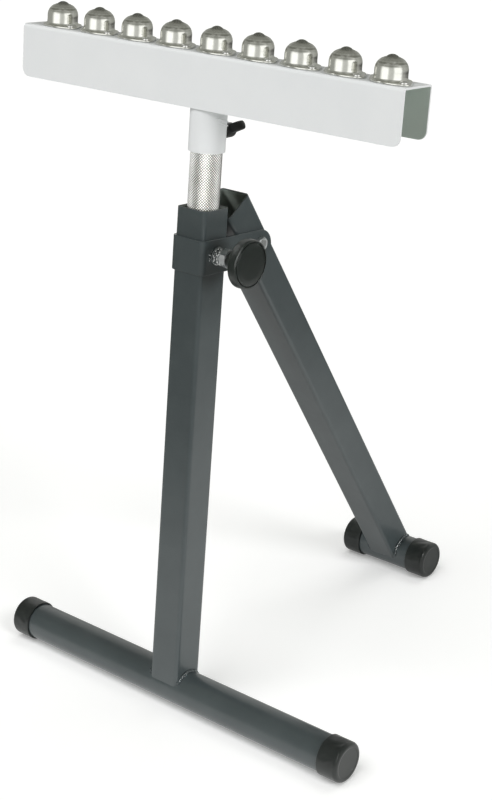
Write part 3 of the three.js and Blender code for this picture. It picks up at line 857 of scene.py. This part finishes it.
def pivot_nut():
    a, b = -(FACE + 0.1), -(FACE + GAP + 8)
    g = Geo()
    g.add(hexagon(13.0, b + 2.4, a, "x", bore=4.2))
    g.add(revolve(fillet([(4.3, b + 2.6), (6.2, b + 2.6), (6.2, b, 1.2, 5), (4.3, b, 0.4, 3)], closed=True), 64, "x", closed=True))
    return g


piece("pivot_bolt_skin", pivot_bolt(), PIVOT_F @ turn(20, "X"), "stand_frame", ZINC, ["leg_pivot_bolt"], sharp=22)
piece("pivot_nut_skin", pivot_nut(), PIVOT_F @ turn(-9, "X"), "stand_frame", ZINC, ["leg_pivot_nut"], sharp=22)


# ------------------------------------------------------------------ mast
def mast():
    n, w = 36, 2 * math.pi * MAST_R / 36
    z0, z1 = MAST_BOTTOM + 1.2, MAST_TOP - 1.2
    rows = int(round((z1 - z0) / (w * 0.5)))
    cols = 2 * n
    peak, valley = MAST_R + 0.085, MAST_R - 0.085
    verts, faces = [], []
    for k in range(rows + 1):
        z = z0 + (z1 - z0) * k / rows
        for c in range(cols):
            t = 2 * math.pi * c / cols
            r = peak if (c + k) % 2 == 0 else valley
            verts.append((r * math.cos(t), r * math.sin(t), z))
    for k in range(rows):
        for c in range(cols):
            d = (c + 1) % cols
            a, b, e, f = k * cols + c, k * cols + d, (k + 1) * cols + d, (k + 1) * cols + c
            if (c + k) % 2 == 0:      # peaks at a and e
                faces += [(a, b, f), (b, e, f)]
            else:
                faces += [(a, b, e), (a, e, f)]

    def ring(r, z):
        o = len(verts)
        for c in range(cols):
            t = 2 * math.pi * c / cols
            verts.append((r * math.cos(t), r * math.sin(t), z))
        return list(range(o, o + cols))

    def join(A, B):
        for i in range(cols):
            j = (i + 1) % cols
            faces.append((A[i], A[j], B[j], B[i]))

    bore = MAST_R - MAST_WALL
    first, last = list(range(cols)), list(range(rows * cols, (rows + 1) * cols))
    chain = [last, ring(MAST_R - 0.7, MAST_TOP - 0.25), ring(MAST_R - 0.95, MAST_TOP), ring(bore + 0.2, MAST_TOP), ring(bore, MAST_TOP - 0.3),
             ring(bore, MAST_BOTTOM + 0.3), ring(bore + 0.2, MAST_BOTTOM), ring(MAST_R - 0.95, MAST_BOTTOM), ring(MAST_R - 0.7, MAST_BOTTOM + 0.25), first]
    for A, B in zip(chain, chain[1:]):
        join(A, B)
    return verts, faces


piece("mast_skin", mast(), POST_F, "mast", KNURL, ["mast_tube"], flat=True)


# ------------------------------------------------------------------ head
def channel():
    w, t, R = CHANNEL_W / 2, CHANNEL_T, CHANNEL_BEND
    top, low = CHANNEL_TOP, CHANNEL_TOP - CHANNEL_H
    side, back, flat, bend = CHANNEL_H - R, CHANNEL_REAR - R, CHANNEL_W - 2 * R, 5.5
    total = side + back + flat + 2 * bend
    c = CHANNEL_CORNER
    x0, x1 = CHANNEL_SHIFT - CHANNEL_L / 2, CHANNEL_SHIFT + CHANNEL_L / 2

    def fold(x, u, d):
        if u <= side:
            return (x, -w + d, low + u)
        if u < side + bend:
            q = math.pi - (u - side) / bend * math.pi / 2
            return (x, -w + R + (R - d) * math.cos(q), top - R + (R - d) * math.sin(q))
        if u <= side + bend + flat:
            return (x, -w + R + (u - side - bend), top - d)
        if u < side + 2 * bend + flat:
            q = math.pi / 2 - (u - side - bend - flat) / bend * math.pi / 2
            return (x, w - R + (R - d) * math.cos(q), top - R + (R - d) * math.sin(q))
        return (x, w - d, top - R - (u - side - 2 * bend - flat))

    outline = fillet([(x0, 0, c, 12), (x1, 0, c, 12), (x1, total, c, 12), (x0, total, c, 12)], closed=True)
    holes = [circle((i - (UNITS - 1) / 2) * UNIT_PITCH, side + bend + flat / 2, RACE_R + 0.6, 48) for i in range(UNITS)]
    lines = []
    for start in (side, side + bend + flat):
        for k in [-0.12] + [j / 8 for j in range(9)] + [1.12]:
            u = start + bend * k
            lines.append([(x0, u), (x1, u)])
    return sheet(outline, holes, lines, fold, t)


head = piece("head_channel_skin", channel(), BAR_F, "head", LIGHT, ["head_channel"])
head.data.materials.append(INSIDE)
for f in head.data.polygons:                          # inner faces of the fold get a darker, greener copy of the light paint: painted shade inside the channel
    y, z = f.center.y / MM, f.center.z / MM
    if max(abs(y) - (CHANNEL_W / 2 - CHANNEL_T), z - (CHANNEL_TOP - CHANNEL_T)) < 0.02 and abs(f.normal.x) < 0.5 and f.normal.z < 0.5:
        f.material_index = 1
bevelled(head, 0.4, 3)

socket_top = CHANNEL_TOP - CHANNEL_T - GAP
piece("socket_skin", revolve(fillet([
    (SOCKET_BORE, SOCKET_BOTTOM, 0.6, 4), (SOCKET_R, SOCKET_BOTTOM, 0.6, 5), (SOCKET_R, socket_top, 0.3, 3), (SOCKET_BORE, socket_top, 0.3, 3),
], closed=True), 128, "z", closed=True), HEAD_F, "head", LIGHT, ["socket_tube"])

# bead between the socket's upper end and the underside of the channel
piece("socket_weld", bead([((SOCKET_R + 0.4) * math.cos(2 * math.pi * k / 96), (SOCKET_R + 0.4) * math.sin(2 * math.pi * k / 96), socket_top - 0.9) for k in range(97)], 2.0, 23, up=(0, 0, 1)),
      HEAD_F, "head", LIGHT, sharp=60)

# short weld runs on the socket's right-hand side, below the flanges
runs = Geo()
for k, (a0, a1, h0, h1, size) in enumerate(((58, 124, 617.0, 611.5, 1.5), (70, 124, 612.6, 607.4, 1.3))):
    run = [(a0 + (a1 - a0) * j / 36, h0 + (h1 - h0) * j / 36) for j in range(37)]
    runs.add(bead([((SOCKET_R + 0.1) * math.sin(rad(a)), -(SOCKET_R + 0.1) * math.cos(rad(a)), h) for a, h in run], size, 29 + k, ripple=2.1, squash=0.5, up=(0, 0, 1)))
piece("socket_side_welds", runs, HEAD_F, "head", LIGHT, sharp=60)

WING_F = HEAD_F @ shift(0, 0, WING_Z)
nut_in = SOCKET_R + GAP + 0.1
nut_out = nut_in + 3.2
piece("socket_nut_skin", hexagon(12.0, nut_in - 0.2, nut_out, "y", bore=4.2), WING_F @ turn(8, "Y"), "head", LIGHT, ["socket_weld_nut"], sharp=22)
piece("socket_nut_weld", bead([(7.0 * math.cos(rad(360 * k / 60)), math.sqrt(SOCKET_R ** 2 - (7.0 * math.cos(rad(360 * k / 60))) ** 2) + 0.4, 7.0 * math.sin(rad(360 * k / 60))) for k in range(61)], 1.2, 41, ripple=1.5, up=(0, 1, 0)),
      WING_F, "head", LIGHT, sharp=60)
piece("wing_screw_skin", threaded(4.0, 1.25, MAST_R + GAP, 38, "y"), WING_F, "wing_handle", ZINC, ["wing_screw"], sharp=80)


def wing_knob():
    """Hub and two rounded wings, run together as one moulding."""
    g = Geo()
    start = nut_out + 0.6
    g.add(revolve(fillet([(0, start), (7.6, start, 0.9, 4), (7.3, 38.6, 3.2, 6), (0, 41.3)]), 48, "y"))
    outline = []
    ctrl = [(3.5, 27.6), (8.8, 28.2), (13.4, 29.8), (16.6, 33.0), (17.7, 37.0), (16.9, 40.2), (14.6, 41.8), (11.8, 41.2), (8.8, 39.8), (3.5, 39.2)]
    n = len(ctrl)
    for i in range(n):
        p0, p1, p2, p3 = (np.array(ctrl[(i + k - 1) % n]) for k in range(4))
        for k in range(4):
            t = k / 4
            outline.append(tuple(0.5 * (2 * p1 + (p2 - p0) * t + (2 * p0 - 5 * p1 + 4 * p2 - p3) * t * t + (3 * p1 - p0 - 3 * p2 + p3) * t ** 3)))
    cx, cy = sum(p[0] for p in outline) / len(outline), sum(p[1] for p in outline) / len(outline)
    for side in (1, -1):
        loops = []
        for f, z in ((0.05, -4.6), (0.66, -4.5), (0.84, -3.9), (0.96, -2.4), (1.0, 0.0), (0.96, 2.4), (0.84, 3.9), (0.66, 4.5), (0.05, 4.6)):
            loops.append([(side * (cx + (x - cx) * f), cy + (y - cy) * f, z) for x, y in outline])
        verts, faces = loft(loops, closed=False)
        m = len(outline)
        faces.append(tuple(reversed(range(m))))
        faces.append(tuple(range((len(loops) - 1) * m, len(loops) * m)))
        g.add((verts, faces))
    return g


wing = piece("wing_knob_skin", wing_knob(), WING_F @ turn(-WING_TURN, "Y"), "wing_handle", WING, ["wing_knob"], sharp=180)
rm = wing.modifiers.new("one_moulding", "REMESH")
rm.mode = "VOXEL"
rm.voxel_size = 0.42 * MM
rm.use_smooth_shade = True
sm = wing.modifiers.new("soft", "SMOOTH")
sm.factor, sm.iterations = 0.5, 7
settle(wing)
wing.data.shade_smooth()
if not wing.data.materials:
    wing.data.materials.append(WING)


# ------------------------------------------------------------------ ball units
def flange_edge(inset, n):
    """Outline of the two-eared flange, as one radius for each of n directions."""
    R, e = FLANGE_R - inset, EAR_R - inset
    ear, d = math.atan2(EAR_Y, EAR_X), math.hypot(EAR_X, EAR_Y)
    lap = math.acos((R - e) / d)
    pts = []
    for k in range(61):
        a = ear - lap + 2 * lap * k / 60
        pts.append((EAR_X + e * math.cos(a), EAR_Y + e * math.sin(a)))
    for k in range(61):
        a = ear + lap + (math.pi - 2 * lap) * k / 60
        pts.append((R * math.cos(a), R * math.sin(a)))
    dense = []
    for (x0, y0), (x1, y1) in zip(pts, pts[1:]):
        dense += [(x0 + (x1 - x0) * k / 12, y0 + (y1 - y0) * k / 12) for k in range(12)]
    dense += [(-x, -y) for x, y in dense]
    th = np.array([math.atan2(y, x) % (2 * math.pi) for x, y in dense])
    rr = np.array([math.hypot(x, y) for x, y in dense])
    o = np.argsort(th)
    return np.interp([2 * math.pi * i / n for i in range(n)], th[o], rr[o], period=2 * math.pi)


def turned(profile):
    """Fine turning lines: small steps along the normal of a row of (r, z) points, fading towards the straight wall."""
    rng = random.Random(17)
    P = [np.array(q, float) for q in profile]
    dense = []
    for a, b in zip(P, P[1:]):
        k = max(1, int(np.linalg.norm(b - a) / 0.28))
        dense += [a + (b - a) * j / k for j in range(k)]
    dense.append(P[-1])
    steps = [rng.uniform(-0.15, 0.0) for _ in range(40)]
    out = []
    for k, q in enumerate(dense):
        d = dense[min(k + 1, len(dense) - 1)] - dense[max(k - 1, 0)]
        d /= np.linalg.norm(d)
        fade = min(1.0, max(0.0, (q[1] - 11.5) / 4.0)) * (0.0 if k < 4 else 1.0)
        q3 = k / 3.5
        h = (steps[int(q3)] * (1 - q3 % 1) + steps[int(q3) + 1] * (q3 % 1)) * fade
        out.append((q[0] + h * -d[1], q[1] + h * d[0]))
    return out


def housing(n=168):
    top = 0.3 + 1.5                                   # upper face of the flange
    outer = curve([(6.15, 21.75), (6.5, 22.1), (9.6, 20.85), (12.0, 19.15), (13.8, 17.0), (15.0, 14.4), (15.5, 11.4), (15.5, 8.2), (15.55, 5.2)], 5)
    outer = turned(outer)
    outer += curve([(15.6, 4.6), (15.9, 3.3), (16.7, 2.3), (18.0, top)], 4)
    inner = curve([(17.6, 0.3), (15.4, 0.9), (14.3, 2.4), (14.2, 6.0), (14.2, 11.2), (13.6, 14.2), (12.3, 16.6), (10.4, 18.7), (8.2, 20.2), (6.3, 21.2)], 4)
    e = 0.25
    flat = [flange_edge(0.0, n), flange_edge(e * 0.3, n), flange_edge(e, n)]
    loops = [[(r * math.cos(2 * math.pi * i / n), r * math.sin(2 * math.pi * i / n), z) for i in range(n)] for r, z in outer]
    for f, edge, z in ((0.4, 2, top), (0.8, 2, top), (1.0, 2, top), (1.0, 1, top - e * 0.3), (1.0, 0, top - e),
                       (1.0, 0, 0.3 + e), (1.0, 1, 0.3 + e * 0.3), (1.0, 2, 0.3), (0.5, 2, 0.3)):
        loop = []
        for i in range(n):
            t = 2 * math.pi * i / n
            r = 18.0 + (flat[edge][i] - 18.0) * f
            loop.append((r * math.cos(t), r * math.sin(t), z))
        loops.append(loop)
    loops += [[(r * math.cos(2 * math.pi * i / n), r * math.sin(2 * math.pi * i / n), z) for i in range(n)] for r, z in inner]
    return loft(loops)


def pan_screw(r=4.0, h=2.5):
    """Pan-head screw with a cross recess; its shank passes the flange and the channel's web."""
    g = Geo()
    w, l = 0.5, 1.9
    cross = [(w, w), (w, l), (-w, l), (-w, w), (-l, w), (-l, -w), (-w, -w), (-w, -l), (w, -l), (w, -w), (l, -w), (l, w)]
    rim = circle(0, 0, r * 0.78, 36)

    def dome(x, y):
        return h - 0.055 * (x * x + y * y)

    pts = rim + circle(0, 0, r * 0.62, 24) + cross
    edges = [(i, (i + 1) % 36) for i in range(36)] + [(60 + i, 60 + (i + 1) % 12) for i in range(12)]
    got = delaunay_2d_cdt([Vector(p) for p in pts], edges, [], 0, 1e-5)
    vs = [tuple(p) for p in got[0]]
    over = [tuple(f) for f in got[2] if not inside((sum(vs[i][0] for i in f) / 3, sum(vs[i][1] for i in f) / 3), cross)]
    deep = [tuple(f) for f in got[2] if inside((sum(vs[i][0] for i in f) / 3, sum(vs[i][1] for i in f) / 3), cross)]
    g.add(([(x, y, dome(x, y)) for x, y in vs], over))
    g.add(([(x * 0.8, y * 0.8, h - 1.2) for x, y in vs], deep))
    m = len(cross)
    g.add(([(x, y, dome(x, y)) for x, y in cross] + [(x * 0.8, y * 0.8, h - 1.2) for x, y in cross], [(i, (i + 1) % m, m + (i + 1) % m, m + i) for i in range(m)]))
    z = dome(r * 0.78, 0)
    skirt = [(r * 0.78, z), (r * 0.9, z - 0.3), (r * 0.97, z - 0.7), (r, z - 1.15), (r, 0.05), (1.9, 0.0), (1.9, -6.5), (1.5, -7.0), (0, -7.0)]
    g.add(revolve(skirt, 36, "z"))
    return g.v, g.f


def race():
    seat = BALL_R + 0.8
    bz = UNIT_HEIGHT - BALL_R
    a0 = math.asin((14.4 - bz) / seat)
    prof = fillet([(0, -7), (7.0, -7, 3.0, 5), (RACE_R - 0.4, -3.6, 2.6, 6), (RACE_R - 0.4, -1.4, 0.4, 3), (RACE_R, -0.9, 0.4, 3), (RACE_R, 14.0, 0.7, 4), (11.2, 14.4)])
    prof += [(seat * math.cos(a0 + (-math.pi / 2 - a0) * k / 12), bz + seat * math.sin(a0 + (-math.pi / 2 - a0) * k / 12)) for k in range(12)]
    prof.append((0, bz - seat))
    return revolve(prof, 72, "z")


def steel_ball():
    """Ball from a divided cube, so that its faces are even all over."""
    m, verts, faces, index = 14, [], [], {}
    for axis in range(3):
        for sign in (1, -1):
            grid = []
            for i in range(m + 1):
                row = []
                for j in range(m + 1):
                    a, b = math.tan(math.pi / 4 * (2 * i / m - 1)), math.tan(math.pi / 4 * (2 * j / m - 1))
                    p = [0.0, 0.0, 0.0]
                    p[axis], p[(axis + 1) % 3], p[(axis + 2) % 3] = sign, a, b
                    l = math.sqrt(sum(x * x for x in p))
                    p = tuple((BALL_R - 0.05) * x / l for x in p)
                    key = tuple(round(x, 5) for x in p)
                    if key not in index:
                        index[key] = len(verts)
                        verts.append(p)
                    row.append(index[key])
                grid.append(row)
            for i in range(m):
                for j in range(m):
                    faces.append((grid[i][j], grid[i + 1][j], grid[i + 1][j + 1], grid[i][j + 1]))
    return verts, faces


cup_part, race_part, ball_part = housing(), race(), steel_ball()
rear_screws, screw_part = Geo(), pan_screw()
for i in range(UNITS):
    n, x = i + 1, (i - (UNITS - 1) / 2) * UNIT_PITCH
    at = BAR_F @ shift(x, 0, CHANNEL_TOP)
    piece(f"ball_cup_{n}", cup_part, at, "head", PLATED, [f"ball_housing_{n}"], sharp=40)
    piece(f"race_cup_{n}", race_part, at, "head", RACE, [f"ball_race_{n}"])
    piece(f"steel_ball_{n}", ball_part, Matrix.Translation((at @ shift(0, 0, UNIT_HEIGHT - BALL_R)).translation), f"ball_{n}", BALL, [f"load_ball_{n}"])
    piece(f"flange_screw_skin_{n}", moved(screw_part, turn(53 * n, "Z")), at @ shift(EAR_X, EAR_Y, 1.8), "head", SCREW, [f"flange_screw_{n}"], sharp=35)
    rear_screws.add(moved(screw_part, mm_shift(x - EAR_X, -EAR_Y, CHANNEL_TOP + 1.8) @ turn(53 * n + 31, "Z")))
piece("rear_flange_screws", rear_screws, BAR_F, "head", SCREW, sharp=35)

# ------------------------------------------------------------------ stage: floor, light, camera
def plane(name, material, points, faces):
    me = bpy.data.meshes.new(name)
    me.from_pydata(points, [], faces)
    me.materials.append(material)
    o = bpy.data.objects.new(name, me)
    bpy.context.scene.collection.objects.link(o)
    return o


fm, nt, p, at = new_material("pale_floor")
col = ramp(nt, noise(nt, at, 1.3, 3, 0.5), [(0.3, (0.913, 0.913, 0.920)), (0.7, (0.925, 0.925, 0.932))])
nt.links.new(col, p.inputs["Base Color"])
p.inputs["Roughness"].default_value = 0.9
p.inputs["Specular IOR Level"].default_value = 0.1
p.inputs["Emission Color"].default_value = (1, 1, 1, 1)
p.inputs["Emission Strength"].default_value = 0.23
floor = plane("floor", fm, [(-30, -30, 0), (30, -30, 0), (30, 30, 0), (-30, 30, 0)], [(0, 1, 2, 3)])
floor.visible_glossy = floor.visible_diffuse = floor.visible_shadow = False

# What the object sees below it: white paper near the stand, dim beyond.
fm, nt, p, at = new_material("near_paper")
length = nt.nodes.new("ShaderNodeVectorMath")
length.operation = "LENGTH"
nt.links.new(at, length.inputs[0])
reach = span(nt, length.outputs["Value"], 0.0, 2.0, 0.0, 1.0)
# the paper's left-rear part is darkened to 0.54 of its brightness, in colour and glow: painted shadow of the stand from
# the right-hand light
across = nt.nodes.new("ShaderNodeVectorMath")
across.operation = "DOT_PRODUCT"
across.inputs[1].default_value = (-0.7071, 0.7071, 0.0)
nt.links.new(at, across.inputs[0])
dim = ramp(nt, span(nt, across.outputs["Value"], -0.02, 0.16, 0.0, 1.0), [(0.0, (1, 1, 1)), (1.0, (0.54, 0.54, 0.54))], "EASE")


def dimmed(stops):
    m = nt.nodes.new("ShaderNodeMix")
    m.data_type, m.blend_type = "RGBA", "MULTIPLY"
    m.inputs[0].default_value = 1.0
    nt.links.new(ramp(nt, reach, stops, "EASE"), m.inputs[6])
    nt.links.new(dim, m.inputs[7])
    return m.outputs[2]


nt.links.new(dimmed([(0.0, (0.92, 0.92, 0.92)), (0.30, (0.92, 0.92, 0.92)), (0.60, (0.16, 0.16, 0.15)), (1.0, (0.10, 0.10, 0.09))]), p.inputs["Base Color"])
nt.links.new(dimmed([(0.0, (0.21, 0.21, 0.21)), (0.30, (0.21, 0.21, 0.21)), (0.60, (0.06, 0.06, 0.055)), (1.0, (0.06, 0.06, 0.055))]), p.inputs["Emission Color"])
p.inputs["Emission Strength"].default_value = 1.0
p.inputs["Roughness"].default_value = 0.9
p.inputs["Specular IOR Level"].default_value = 0.1
paper = plane("near_paper", fm, [(0, 0, -0.0006)] + [(4 * math.cos(rad(5 * k)), 4 * math.sin(rad(5 * k)), -0.0006) for k in range(72)], [(0, k + 1, (k + 1) % 72 + 1) for k in range(72)])
paper.visible_camera = paper.visible_shadow = False


def sun(name, azimuth, elevation, strength, angle, tint=(1, 1, 1)):
    """Broad even light; azimuth is counted from -Y towards +X. Hidden from reflections."""
    d = bpy.data.lights.new(name, "SUN")
    d.energy = strength
    d.angle = rad(angle)
    d.color = tint
    o = bpy.data.objects.new(name, d)
    bpy.context.scene.collection.objects.link(o)
    a, e = rad(azimuth), rad(elevation)
    to = Vector((math.cos(e) * math.sin(a), -math.cos(e) * math.cos(a), math.sin(e)))
    o.matrix_world = Matrix.Translation(to * 3) @ (-to).to_track_quat("-Z", "Y").to_matrix().to_4x4()
    o.visible_camera = False
    o.visible_glossy = False
    return o


# two tall soft lights, each as an upper and a lower half, and their softer share on the floor
on_stand = [sun("front_upper", -12, 38, 1.40, 12), sun("right_upper", 97, 38, 0.62, 14), sun("front_lower", -12, 10, 0.85, 24), sun("right_lower", 95, 10, 1.72, 24), sun("rear_fill", 195, 8, 0.60, 30)]
on_floor = [sun("front_floor_share", -6, 60, 1.30, 40), sun("right_floor_share", 76, 37, 0.95, 20), sun("top_floor_share", 172, 72, 0.40, 30)]
for name, suns, picked in (("lit_stand", on_stand, lambda q: q is not floor), ("lit_floor", on_floor, lambda q: q is floor)):
    lit = bpy.data.collections.new(name)
    bpy.context.scene.collection.children.link(lit)
    for q in bpy.context.scene.objects:
        if q.type == "MESH" and picked(q):
            lit.objects.link(q)
    for q in suns:
        q.light_linking.receiver_collection = lit


def glow(name, size, across, upward, receivers, gain=1.0):
    """Bright areas of the studio, seen only as reflections in the pieces of the given materials.
    across and upward list (degrees, level) round the stand, from -Y towards +X, and up from the horizon."""
    m = bpy.data.materials.new(name)
    m.use_nodes = True
    nt = m.node_tree
    nt.nodes.clear()
    out, em, clear, both = (nt.nodes.new("ShaderNode" + k) for k in ("OutputMaterial", "Emission", "BsdfTransparent", "AddShader"))
    sep = nt.nodes.new("ShaderNodeSeparateXYZ")
    nt.links.new(nt.nodes.new("ShaderNodeTexCoord").outputs["Object"], sep.inputs[0])

    def calc(op, a, b=None):
        n = nt.nodes.new("ShaderNodeMath")
        n.operation = op
        for k, v in enumerate((a, b)):
            if isinstance(v, (int, float)):
                n.inputs[k].default_value = v
            elif v is not None:
                nt.links.new(v, n.inputs[k])
        return n.outputs[0]

    def levels(fac, lo, hi, stops):
        return ramp(nt, span(nt, fac, rad(lo), rad(hi), 0.0, 1.0), [((a - lo) / (hi - lo), (v, v, v)) for a, v in stops], "EASE")

    around = calc("ARCTAN2", sep.outputs["X"], calc("MULTIPLY", sep.outputs["Y"], -1.0))
    above = calc("ARCSINE", sep.outputs["Z"])
    level = calc("MULTIPLY", levels(around, -180, 180, across), levels(above, -90, 90, upward))
    nt.links.new(calc("MULTIPLY", level, gain), em.inputs["Strength"])
    nt.links.new(em.outputs[0], both.inputs[0])
    nt.links.new(clear.outputs[0], both.inputs[1])
    nt.links.new(both.outputs[0], out.inputs["Surface"])
    bm = bmesh.new()
    bmesh.ops.create_icosphere(bm, subdivisions=4, radius=1.0)
    me = bpy.data.meshes.new(name)
    bm.to_mesh(me)
    bm.free()
    me.materials.append(m)
    o = bpy.data.objects.new(name, me)
    bpy.context.scene.collection.objects.link(o)
    o.matrix_world = Matrix.Translation((0, -0.1, 0.5)) @ Matrix.Scale(size, 4)
    o.visible_camera = o.visible_diffuse = o.visible_shadow = o.visible_transmission = False
    seen = bpy.data.collections.new(name)
    bpy.context.scene.collection.children.link(seen)
    for q in bpy.context.scene.objects:
        if q.type == "MESH" and q.data.materials and q.data.materials[0] in receivers:
            seen.objects.link(q)
    o.light_linking.receiver_collection = seen


# panels left and right of the camera, in the bare metal
windows = [(-180, 0.10), (-100, 0.10), (-46, 0.12), (-22, 1.0), (12, 1.0), (25, 0.36), (48, 0.34), (62, 1.0), (100, 1.0), (114, 0.22), (180, 0.10)]
glow("panels", 3.0, windows,
     [(-90, 0.0), (-48, 0.0), (-42, 1.0), (24, 1.0), (38, 0.24), (46, 0.07), (53, 0.40), (60, 0.05), (69, 0.32), (78, 0.04), (90, 0.22)],
     (PLATED, ZINC, RACE, BALL, WELD, SPATTER, SCREW))
glow("mast_panels", 3.3,
     [(-180, 0.05), (-116, 0.06), (-96, 0.54), (-38, 0.60), (-30, 0.04), (6, 0.04), (14, 0.95), (20, 1.0), (54, 1.0), (60, 0.95), (68, 0.05), (96, 0.05), (104, 0.74), (156, 0.71), (174, 0.10), (180, 0.05)],
     [(-90, 0.0), (-56, 0.0), (-46, 1.0), (38, 1.0), (50, 0.0), (90, 0.0)],
     (KNURL,), 4.6)
# pale wall behind the stand and pale floor before it, in the dark paint and the plastic
glow("back_wall", 3.6,
     [(-180, 0.6), (-120, 0.6), (-95, 0.0), (120, 0.0), (150, 0.6), (180, 0.6)],
     [(-90, 0.0), (-8, 0.0), (4, 1.0), (36, 1.0), (50, 0.0), (90, 0.0)],
     (DARK, BEAD, PLASTIC, KNOB, WING))
glow("front_floor", 3.9,
     [(-180, 0.0), (8, 0.0), (24, 1.0), (56, 1.0), (72, 0.0), (180, 0.0)],
     [(-90, 0.0), (-50, 0.0), (-38, 1.0), (-8, 1.0), (2, 0.0), (90, 0.0)],
     (DARK,), 1.5)

# strip lights in the knob's rounded rim
glow("knob_strip", 4.2,
     [(-180, 0.0), (20, 0.0), (32, 1.0), (84, 1.0), (98, 0.0), (180, 0.0)],
     [(-90, 0.0), (-52, 0.0), (-38, 1.0), (58, 1.0), (70, 0.0), (90, 0.0)],
     (KNOB,), 3.5)
glow("knob_top", 4.5,
     [(-180, 0.0), (-100, 0.0), (-88, 1.0), (-58, 1.0), (-46, 0.0), (180, 0.0)],
     [(-90, 0.0), (38, 0.0), (46, 1.0), (57, 1.0), (66, 0.0), (90, 0.0)],
     (KNOB,), 2.6)

# small lamps in the caps' shoulders and in the weld beads
glow("cap_spot", 4.8,
     [(-180, 0.0), (32, 0.0), (42, 1.0), (58, 1.0), (68, 0.0), (180, 0.0)],
     [(-90, 0.0), (12, 0.0), (22, 1.0), (42, 1.0), (52, 0.0), (90, 0.0)],
     (PLASTIC,), 4.0)
glow("bead_spot", 5.1,
     [(-180, 0.0), (44, 0.0), (54, 1.0), (96, 1.0), (106, 0.0), (180, 0.0)],
     [(-90, 0.0), (6, 0.0), (16, 1.0), (44, 1.0), (54, 0.0), (90, 0.0)],
     (BEAD,), 7.0)

world = bpy.data.worlds.new("studio")
bpy.context.scene.world = world
world.use_nodes = True
wt = world.node_tree
wt.nodes.clear()
wo = wt.nodes.new("ShaderNodeOutputWorld")
wb = wt.nodes.new("ShaderNodeBackground")
wb.inputs["Color"].default_value = (0.95, 0.97, 0.87, 1)
wb.inputs["Strength"].default_value = 0.25
wt.links.new(wb.outputs["Background"], wo.inputs["Surface"])

cam_data = bpy.data.cameras.new("camera")
cam_data.sensor_fit = "VERTICAL"
cam_data.sensor_height = 36.0
cam_data.lens = 78.886
cam_data.shift_x = 0.00256
cam_data.shift_y = -0.01347
cam_data.clip_end = 100
cam = bpy.data.objects.new("camera", cam_data)
bpy.context.scene.collection.objects.link(cam)
right, up, ahead = Vector((0.77095487, 0.63688249, 0.00304614)), Vector((-0.24990691, 0.29810952, 0.9212368)), Vector((-0.5858115, 0.71099326, -0.38899032))
rot = Matrix((right, up, -ahead)).transposed().to_4x4()
cam.matrix_world = Matrix.Translation((1.0884248, -1.4101694, 1.0527984)) @ rot
bpy.context.scene.camera = cam
bpy.context.scene.view_settings.view_transform = "Standard"
